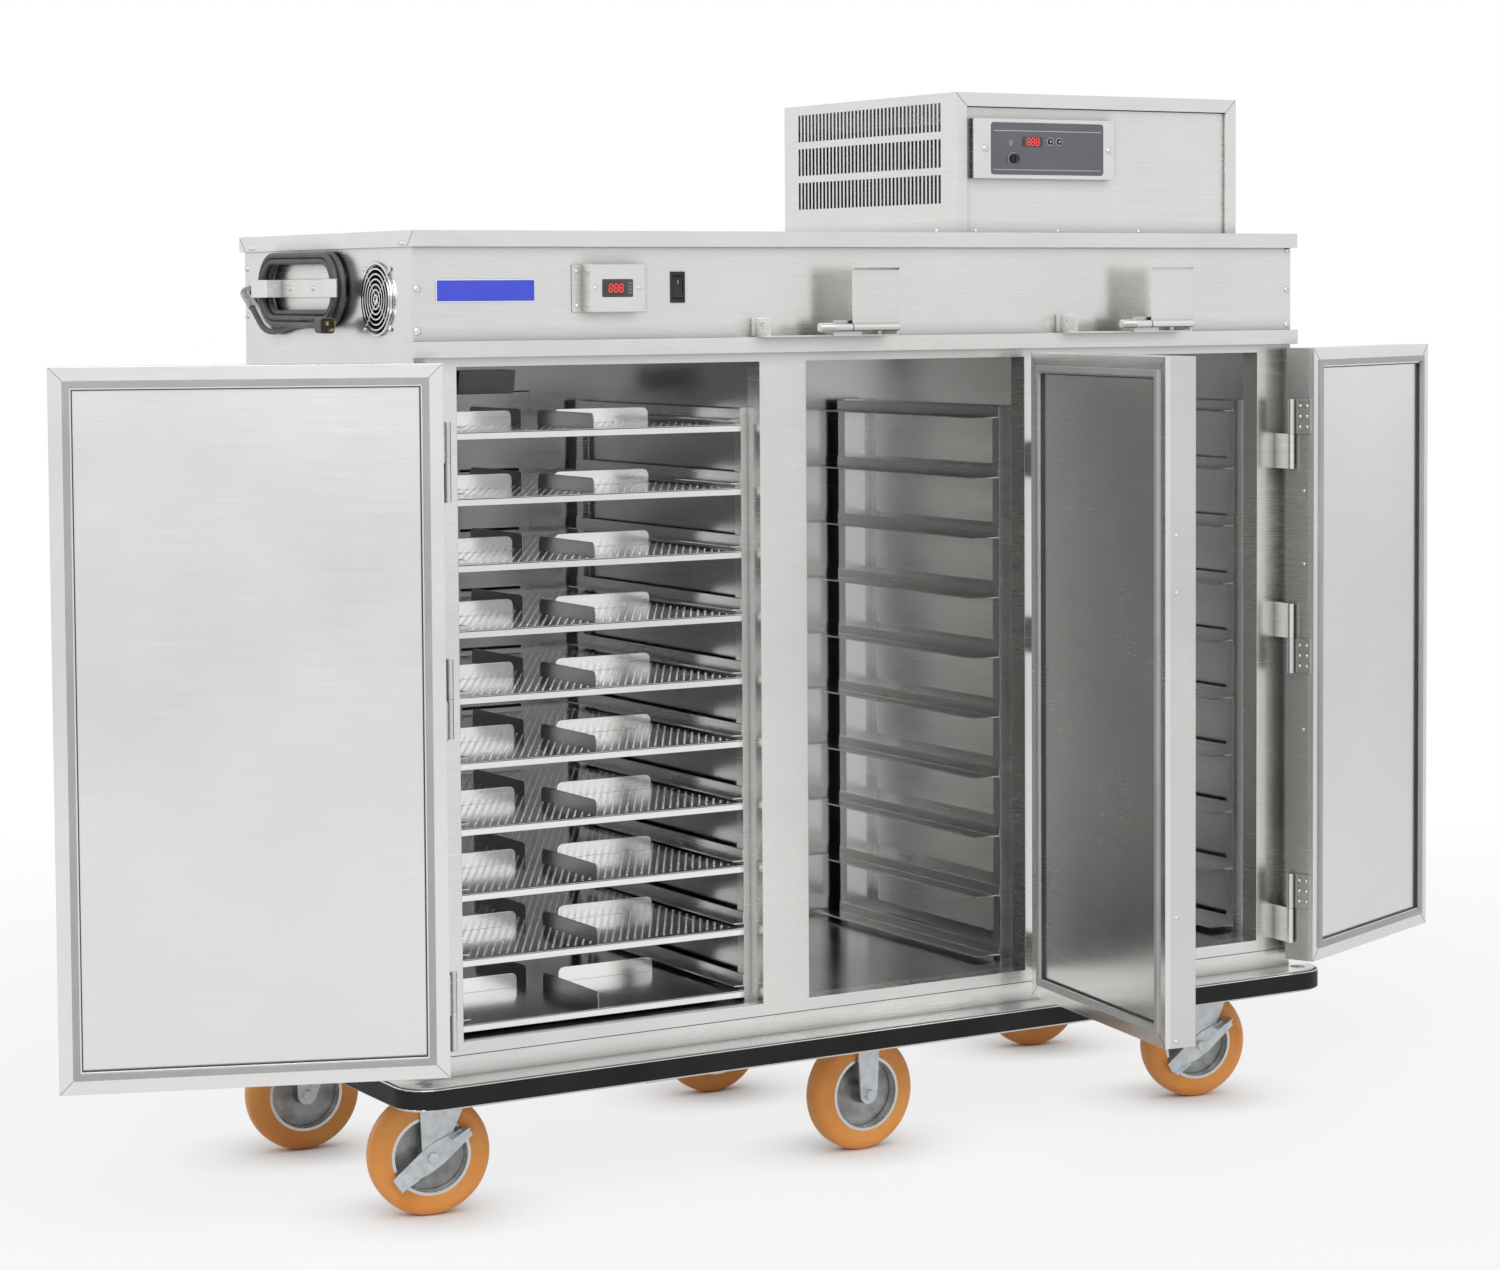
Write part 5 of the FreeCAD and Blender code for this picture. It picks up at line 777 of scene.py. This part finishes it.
for door, (side, width, pin_x, angle) in doors.items():
    stand = Matrix.Translation(at(pin_x, hinge_y, 0)) @ Matrix.Rotation(math.radians(angle), 4, "Z")
    near, far = side * hinge_gap, side * (hinge_gap + width)
    seams_and_shadow_lines = []
    for edge_x, inwards in ((near, side), (far, -side)):
        for edge_z, upwards in ((door_low, 1), (door_high, -1)):
            start, end = [Vector((edge_x + inwards * reach, door_inner, edge_z + upwards * reach))
                          for reach in (0.001, 0.0215)]
            seams_and_shadow_lines.append(seam_or_shadow_line("mitre", start, end, BACK_FACING))
    # Painted shadow: a thin dark line round the liner's panel, lying on it beside the ridge of its well.
    inset, rise = 0.0359, door_inner - 0.00275
    corners_x = (near + side * inset, far - side * inset)
    corners_z = (door_low + inset, door_high - inset)
    runs = [[Vector((place, rise, end)) for end in corners_z] for place in corners_x]
    runs += [[Vector((end, rise, place)) for end in corners_x] for place in corners_z]
    for start, end in runs:
        seams_and_shadow_lines.append(seam_or_shadow_line("painted_shadow_gap", start, end, BACK_FACING, width=0.0018, proud=0.00225))
    lines = joined(f"{door}_seams", seams_and_shadow_lines)
    lines.data.transform(stand)
    finished(lines, shadow_line, door, "steel")
    edge_facing = LEFT_FACING if side > 0 else RIGHT_FACING
    spots = []
    for level, upward in hinge_levels:
        for share in rivet_shares:
            for depth in (0.014, 0.028):
                place = Vector((side * (hinge_gap - 0.0025), depth, level + upward * leaf_half * share))
                spots.append((stand @ place, stand.to_3x3().to_4x4() @ edge_facing))
    for edge_x, outwards, levels in edge_rivets.get(door, ()):
        facing = RIGHT_FACING if outwards > 0 else LEFT_FACING
        for level in levels:
            spots.append((stand @ Vector((edge_x, 0.021, level)), stand.to_3x3().to_4x4() @ facing))
    fastened(f"{door}_hinge_rivets", small_rivet, spots, door)
    spots = [(at(pin_x - side * 0.018, -0.0025, level - upward * leaf_half * share), FRONT_FACING)
             for level, upward in hinge_levels for share in rivet_shares]
    fastened(f"{door}_frame_rivets", small_rivet, spots)


# --- Transport latches ---
# Each latch is a steel paddle that turns on a rod, over a strip screwed to the ledge. A coiled spring of
# plated wire lies round the rod, beside the bracket.
rod_y, rod_z = -0.066, 1.446
spring_turns, spring_wire, spring_radius, spring_length, turn_corners = 9, 0.0011, 0.0068, 0.030, 14
for latch, spring_left in (("middle", 0.624 + 0.090), ("right", 1.250 + 0.090)):
    spring_curve = wire_curve(f"{latch}_spring_line", spring_wire, roundness=2)
    count = spring_turns * turn_corners
    coil = []
    for index in range(count + 1):
        angle = 2 * math.pi * index / turn_corners
        coil.append(at(spring_left + 0.002 + spring_length * index / count,
                       rod_y + spring_radius * math.cos(angle), rod_z + spring_radius * math.sin(angle)))
    draw_line(spring_curve, "POLY", coil)
    finished(new_piece(f"{latch}_latch_spring", spring_curve), screw_steel, "root", "steel")


# --- Duct of the heated bay ---
# A flat folded duct covers the left of the back wall. Warm air leaves it through two columns of slots,
# and a tilted deflector of dull sheet hangs over it near the roof.
duct_left, duct_right, duct_low, duct_high, duct_face, duct_depth = 0.076, 0.538, 0.306, 1.328, 0.652, 0.0035
duct_middle = at((duct_left + duct_right) / 2, duct_face + duct_depth, (duct_low + duct_high) / 2)
duct = placed_plate("hot_bay_duct", duct_middle, duct_right - duct_left, duct_high - duct_low,
                    duct_depth, 0.003)
finished(duct, liner_steel, "root", "liner_steel")
slots_and_shadow_lines = []
slot_rows, slot_top, slot_pitch = 9, 1.187, 0.1078
for level in range(slot_rows):
    for slot_middle in (0.1575, 0.4545):
        slots_and_shadow_lines.append(placed_plate("slot", at(slot_middle, duct_face, slot_top - slot_pitch * level),
                                  0.121, 0.0052, 0.0004, 0.0024))
# Painted shadow: a dark line runs along the duct's right and top edges, on the wall beside them.
beside_duct, line_y, line_width = 0.0007, duct_face + duct_depth - 0.0003, 0.0022
line_x, line_z = duct_right + beside_duct, duct_high + beside_duct
for start, end in ((at(line_x, line_y, duct_low), at(line_x, line_y, duct_high)),
                   (at(duct_left, line_y, line_z), at(duct_right, line_y, line_z))):
    slots_and_shadow_lines.append(seam_or_shadow_line("edge", start, end, FRONT_FACING, width=line_width))
finished(joined("hot_bay_duct_slots_and_shadow_lines", slots_and_shadow_lines), shadow_line, "root", "liner_steel")
deflector_tilt = Matrix.Rotation(math.radians(14), 4, "X") @ FRONT_FACING
deflector = placed_plate("hot_bay_deflector", at(0.445, 0.641, 1.347), 0.112, 0.044, 0.0015, 0.003,
                         edge=0.0004, facing=deflector_tilt)
finished(deflector, divider_steel, "root", "liner_steel")


# --- Pilaster holes of the right bay ---
# Round holes are punched up the bay's side wall just inside its opening, where the rack's screws go
# through.
spots = [(at(1.7371, 0.065, height), LEFT_FACING) for height in (1.330, 1.135, 0.941, 0.748, 0.555, 0.361)]
hole = fastener_head(0.0042, 0.0012, 0.0010, corners=16)
finished(stamped("pilaster_holes", hole, spots), shadow_line, "root", "liner_steel")


# --- Tray shelves ---
# Ten sheet shelves lie on the slides of the heated bay. All but the lowest are punched with staggered
# holes. Two stops across and two dividers along each one are bent up, and keep the trays in place.
shelf_low, shelf_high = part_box("tray_shelves")
shelf_levels, shelf_pitch, shelf_sheet = 10, 0.1068, 0.002
shelf_width, shelf_depth = shelf_high.x - shelf_low.x, shelf_high.y - shelf_low.y
lip_height, lip_sheet, tab_height, tab_corner = 0.012, 0.003, 0.025, 0.011
hole_pitch, row_pitch, hole_radius = 0.014, 0.012, 0.0031


def punched_field(columns, rows):
    """Cells with a six sided hole each, every other row shifted by half a cell, centred on the origin."""
    field = bmesh.new()
    half_x, half_y = hole_pitch / 2, row_pitch / 2
    outline = ((-1, -1), (0, -1), (1, -1), (1, 1), (0, 1), (-1, 1))
    angles = (-150, -90, -30, 30, 90, 150)
    for row in range(rows):
        shifted = row % 2
        for column in range(columns - shifted):
            x = (column - (columns - 1 - shifted) / 2) * hole_pitch
            y = (row - (rows - 1) / 2) * row_pitch
            outer = [field.verts.new((x + a * half_x, y + b * half_y, 0)) for a, b in outline]
            inner = [field.verts.new((x + hole_radius * math.cos(math.radians(angle)),
                                      y + hole_radius * math.sin(math.radians(angle)), 0)) for angle in angles]
            for index in range(6):
                following = (index + 1) % 6
                field.faces.new((outer[index], outer[following], inner[following], inner[index]))
        if shifted:
            for way in (-1, 1):
                x0, x1 = way * (columns - 1) * half_x, way * columns * half_x
                low, high = min(x0, x1), max(x0, x1)
                y0 = (row - rows / 2) * row_pitch
                cell = ((low, y0, 0), (high, y0, 0), (high, y0 + row_pitch, 0), (low, y0 + row_pitch, 0))
                field.faces.new([field.verts.new(place) for place in cell])
    bmesh.ops.remove_doubles(field, verts=field.verts, dist=0.00005)
    return field


def plain_border(sheet, inner_x, inner_y, outer_x, outer_y):
    """The unpunched margin round the field."""
    ring = [(-inner_x, -inner_y), (inner_x, -inner_y), (inner_x, inner_y), (-inner_x, inner_y)]
    rim = [(-outer_x, -outer_y), (outer_x, -outer_y), (outer_x, outer_y), (-outer_x, outer_y)]
    for index in range(4):
        following = (index + 1) % 4
        corners = (rim[index], rim[following], ring[following], ring[index])
        sheet.faces.new([sheet.verts.new((*corner, 0)) for corner in corners])


def shelf_sheet_piece(name, punched):
    """The flat of a shelf at the origin, thickened downwards."""
    columns, rows = int((shelf_width - 0.02) / hole_pitch), int((shelf_depth - 0.02) / row_pitch)
    inner_x, inner_y = columns * hole_pitch / 2, rows * row_pitch / 2
    sheet = punched_field(columns, rows) if punched else bmesh.new()
    if not punched:
        sheet.faces.new([sheet.verts.new(place) for place in ((-inner_x, -inner_y, 0), (inner_x, -inner_y, 0),
                                                              (inner_x, inner_y, 0), (-inner_x, inner_y, 0))])
    plain_border(sheet, inner_x, inner_y, shelf_width / 2, shelf_depth / 2)
    piece = shaped(name, sheet)
    bpy.ops.object.select_all(action="DESELECT")
    bpy.context.view_layer.objects.active = piece
    return changed(piece, "SOLIDIFY", thickness=shelf_sheet, offset=-1)


def bent_tab(length):
    """A tab that stands on the sheet, rounded at its two upper corners."""
    tab = rounded_plate("tab", length, 2 * tab_height, shelf_sheet, tab_corner, edge=0.0005)
    open_for_edit(tab)
    bpy.ops.mesh.bisect(plane_co=(0, 0, 0), plane_no=(0, 1, 0), clear_inner=True, use_fill=True)
    bpy.ops.object.mode_set(mode="OBJECT")
    return tab


stop_back, stop_length, stop_gap, stop_middle = 0.234, 0.185, 0.080, -0.0085
divider_x, divider_length, divider_fronts = -0.010, 0.200, (0.012, 0.274)
punched_sheet = shelf_sheet_piece("punched_sheet", True)
plain_sheet = shelf_sheet_piece("plain_sheet", False)
shelf_middle = Vector(((shelf_low.x + shelf_high.x) / 2, (shelf_low.y + shelf_high.y) / 2, 0))
lips = []
dividers = []
for level in range(shelf_levels):
    top = shelf_low.z + shelf_pitch * level + shelf_sheet
    template = punched_sheet if level else plain_sheet
    flat = new_piece(f"tray_shelf_{level + 1}", template.data.copy())
    put(flat, shelf_middle + Vector((0, 0, top)))
    parts = [flat]
    front_edge = shelf_middle.y - shelf_depth / 2
    lip_place = Vector((shelf_middle.x, front_edge + lip_sheet, top - lip_height / 2))
    lips.append(placed_plate("lip", lip_place, shelf_width, lip_height, lip_sheet, 0.002, edge=0.0007))
    for way in (-1, 1):
        stop = bent_tab(stop_length)
        stop_x = shelf_middle.x + stop_middle + way * (stop_gap + stop_length) / 2
        parts.append(put(stop, Vector((stop_x, front_edge + stop_back + shelf_sheet, top)), FRONT_FACING))
    for divider_front in divider_fronts:
        divider = bent_tab(divider_length)
        divider_y = front_edge + divider_front + divider_length / 2
        divider_place = Vector((shelf_middle.x + divider_x + shelf_sheet, divider_y, top))
        dividers.append(put(divider, divider_place, LEFT_FACING))
    finished(joined(flat.name, parts), shelf_steel, "root", "rack_steel", "tray_shelves")
finished(joined("tray_shelf_lips", lips), shelf_steel, "root", "rack_steel", "tray_shelves")
finished(joined("tray_shelf_dividers", dividers), divider_steel, "root", "rack_steel", "tray_shelves")
bpy.data.objects.remove(punched_sheet)
bpy.data.objects.remove(plain_sheet)


# --- Refrigeration unit ---
# A folded hood with slotted sides. Its bezel is mitred at the two upper corners, and a shadow line runs
# over the panel. The condensing unit behind the slots is black enamelled.
dress(moulded("machine_enamel", (0.012, 0.012, 0.013), (0.03, 0.03, 0.03), 0.35), "condensing_unit")
hood_low, hood_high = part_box("unit_housing")
hood_left, hood_right, hood_front = hood_low.x - left_x, hood_high.x - left_x, hood_low.y - front_y
bezel = 0.024
hood_seams = [
    seam_or_shadow_line("mitre", at(hood_left + 0.001, hood_front, hood_high.z - 0.001),
         at(hood_left + bezel, hood_front, hood_high.z - bezel), FRONT_FACING),
    seam_or_shadow_line("mitre", at(hood_right - 0.001, hood_front, hood_high.z - 0.001),
         at(hood_right - bezel, hood_front, hood_high.z - bezel), FRONT_FACING),
    seam_or_shadow_line("shadow", at(hood_left + bezel, hood_front + 0.0059, hood_high.z - bezel - 0.0008),
         at(hood_right - bezel, hood_front + 0.0059, hood_high.z - bezel - 0.0008), FRONT_FACING, width=0.0016)]
finished(joined("unit_seams", hood_seams), shadow_line, "root", "steel")

spots = [(at(x, hood_front + 0.0060, 1.6115), FRONT_FACING) for x in (1.0366, 1.1195, 1.2963, 1.4751)]
fastened("unit_foot_screws", small_screw, spots)

# The control box carries a printed overlay with two fine rules, a display, two buttons and a dial.
control_low, control_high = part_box("unit_control_box")
control_face = control_low.y - front_y
overlay_left, overlay_right, overlay_low, overlay_high = 1.139, 1.3825, 1.710, 1.8015
overlay_x, overlay_width = (overlay_left + overlay_right) / 2, overlay_right - overlay_left
overlay = placed_plate("unit_overlay", at(overlay_x, control_face, (overlay_low + overlay_high) / 2),
                       overlay_width, overlay_high - overlay_low, 0.0007, 0.006)
finished(overlay,
         moulded("overlay_film", (0.105, 0.108, 0.125), (0.125, 0.128, 0.147), 0.35), "root", "black_plastic")
rules = []
for height in (overlay_high - 0.0145, overlay_low + 0.0085):
    rules.append(placed_plate("rule", at(overlay_x, control_face - 0.0007, height),
                              overlay_width - 0.010, 0.0008, 0.0002, 0, edge=0))
# Rings round the symbol, the dial and the two buttons: radius, wire, corners, x, depth, height
printed_rings = ((0.0031, 0.0004, 24, 1.1808, 0.0008, 1.766), (0.0106, 0.0003, 36, 1.186, 0.0007, 1.738),
                 (0.0066, 0.0004, 28, 1.266, 0.0008, 1.769), (0.0066, 0.0004, 28, 1.285, 0.0008, 1.769))
for radius, wire, ring_corners, x, proud, z in printed_rings:
    bpy.ops.mesh.primitive_torus_add(major_radius=radius, minor_radius=wire, major_segments=ring_corners,
                                     minor_segments=6)
    rules.append(put(bpy.context.object, at(x, control_face - proud, z), FRONT_FACING))
finished(joined("overlay_rules", rules), print_white, "root", "black_plastic")
dress(black_plastic, "button_up", "button_down", "control_dial")
for name, body, way in (("button_up", "up_button", 1), ("button_down", "down_button", -1)):
    low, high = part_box(name)
    bpy.ops.object.select_all(action="DESELECT")
    bpy.ops.mesh.primitive_cone_add(vertices=3, radius1=0.0027, radius2=0.0025, depth=0.0003)
    arrow = put(bpy.context.object, Vector(((low.x + high.x) / 2, low.y, (low.z + high.z) / 2)),
                FRONT_FACING @ Matrix.Rotation(0 if way > 0 else math.pi, 4, "Z"))
    arrow.name = f"{name}_arrow"
    finished(arrow, print_white, body, "black_plastic")
display("unit", at(1.2271, control_face - 0.0006, 1.768), 0.0432, 0.017, 3, 0.0125)
spots = [(at(x, control_face, 1.755), FRONT_FACING) for x in (1.1274, 1.396)]
fastened("control_box_screws", screw, spots)


# --- Casters ---
# Forks and plates of zinc plated steel, cast aluminium wheels turned bright at the rim, and tyres of
# orange polyurethane, which is slightly translucent.
zinc = Finish("zinc_plate", Metallic=0.85)
zinc_clouds = zinc.noise(scale=70, detail=5)
zinc_fine = zinc.noise(scale=900, detail=2)
zinc_rounded = zinc.add("Bevel", {"samples": 4}, Radius=0.001).outputs[0]
zinc_plate = zinc.wear(Base_Color=zinc.colours(zinc_clouds, (0.5, 0.53, 0.55), (0.68, 0.71, 0.73)),
                       Roughness=zinc.spread(zinc_clouds, 0.26, 0.42),
                       Normal=zinc.bump(zinc_fine, 0.00006, zinc_rounded))
corners = ("front_left", "front_right", "rear_left", "rear_right")
positions = corners + ("front_middle", "rear_middle")
dress(zinc_plate, "caster_mounts", "brake_lever_front_left", "brake_lever_front_right",
      *[f"fork_{corner}" for corner in corners])

tyre = Finish("orange_tyre", Subsurface_Weight=0.12, Subsurface_Scale=0.01)
tyre_fine = tyre.noise(scale=700, detail=2)
tyre_broad = tyre.noise(scale=14, detail=4)
tyre_material = tyre.wear(Base_Color=tyre.colours(tyre_broad, (0.82, 0.31, 0.06), (0.90, 0.39, 0.095)),
                          Roughness=tyre.spread(tyre_broad, 0.3, 0.46), Normal=tyre.bump(tyre_fine, 0.00005))
dress(tyre_material, *[f"tyre_{position}" for position in positions])


def wheel_metal(name, centre):
    """Cast aluminium, sandy in the web, turned bright at the rim and on the boss."""
    cast = Finish(name, Metallic=1.0)
    sand = cast.noise(scale=420, detail=4)
    clouds = cast.noise(scale=40, detail=4)
    from_axle = cast.add("VectorMath", {"operation": "DISTANCE"})
    cast.set(from_axle, 0, cast.place)
    cast.set(from_axle, 1, tuple(centre))
    turned = cast.spread(from_axle.outputs["Value"], 0.0, 1.0, start=0.0595, end=0.0605)
    sandy = cast.colours(clouds, (0.22, 0.22, 0.22), (0.40, 0.40, 0.395))
    tone = cast.blend(turned, sandy, (0.68, 0.68, 0.67, 1))
    rough = cast.combine("SUBTRACT", cast.spread(sand, 0.38, 0.5), cast.combine("MULTIPLY", turned, 0.16))
    return cast.wear(Base_Color=tone, Roughness=rough, Normal=cast.bump(sand, 0.00025))


for position in positions:
    low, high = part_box(f"wheel_{position}")
    dress(wheel_metal(f"cast_{position}", (low + high) / 2), f"wheel_{position}")
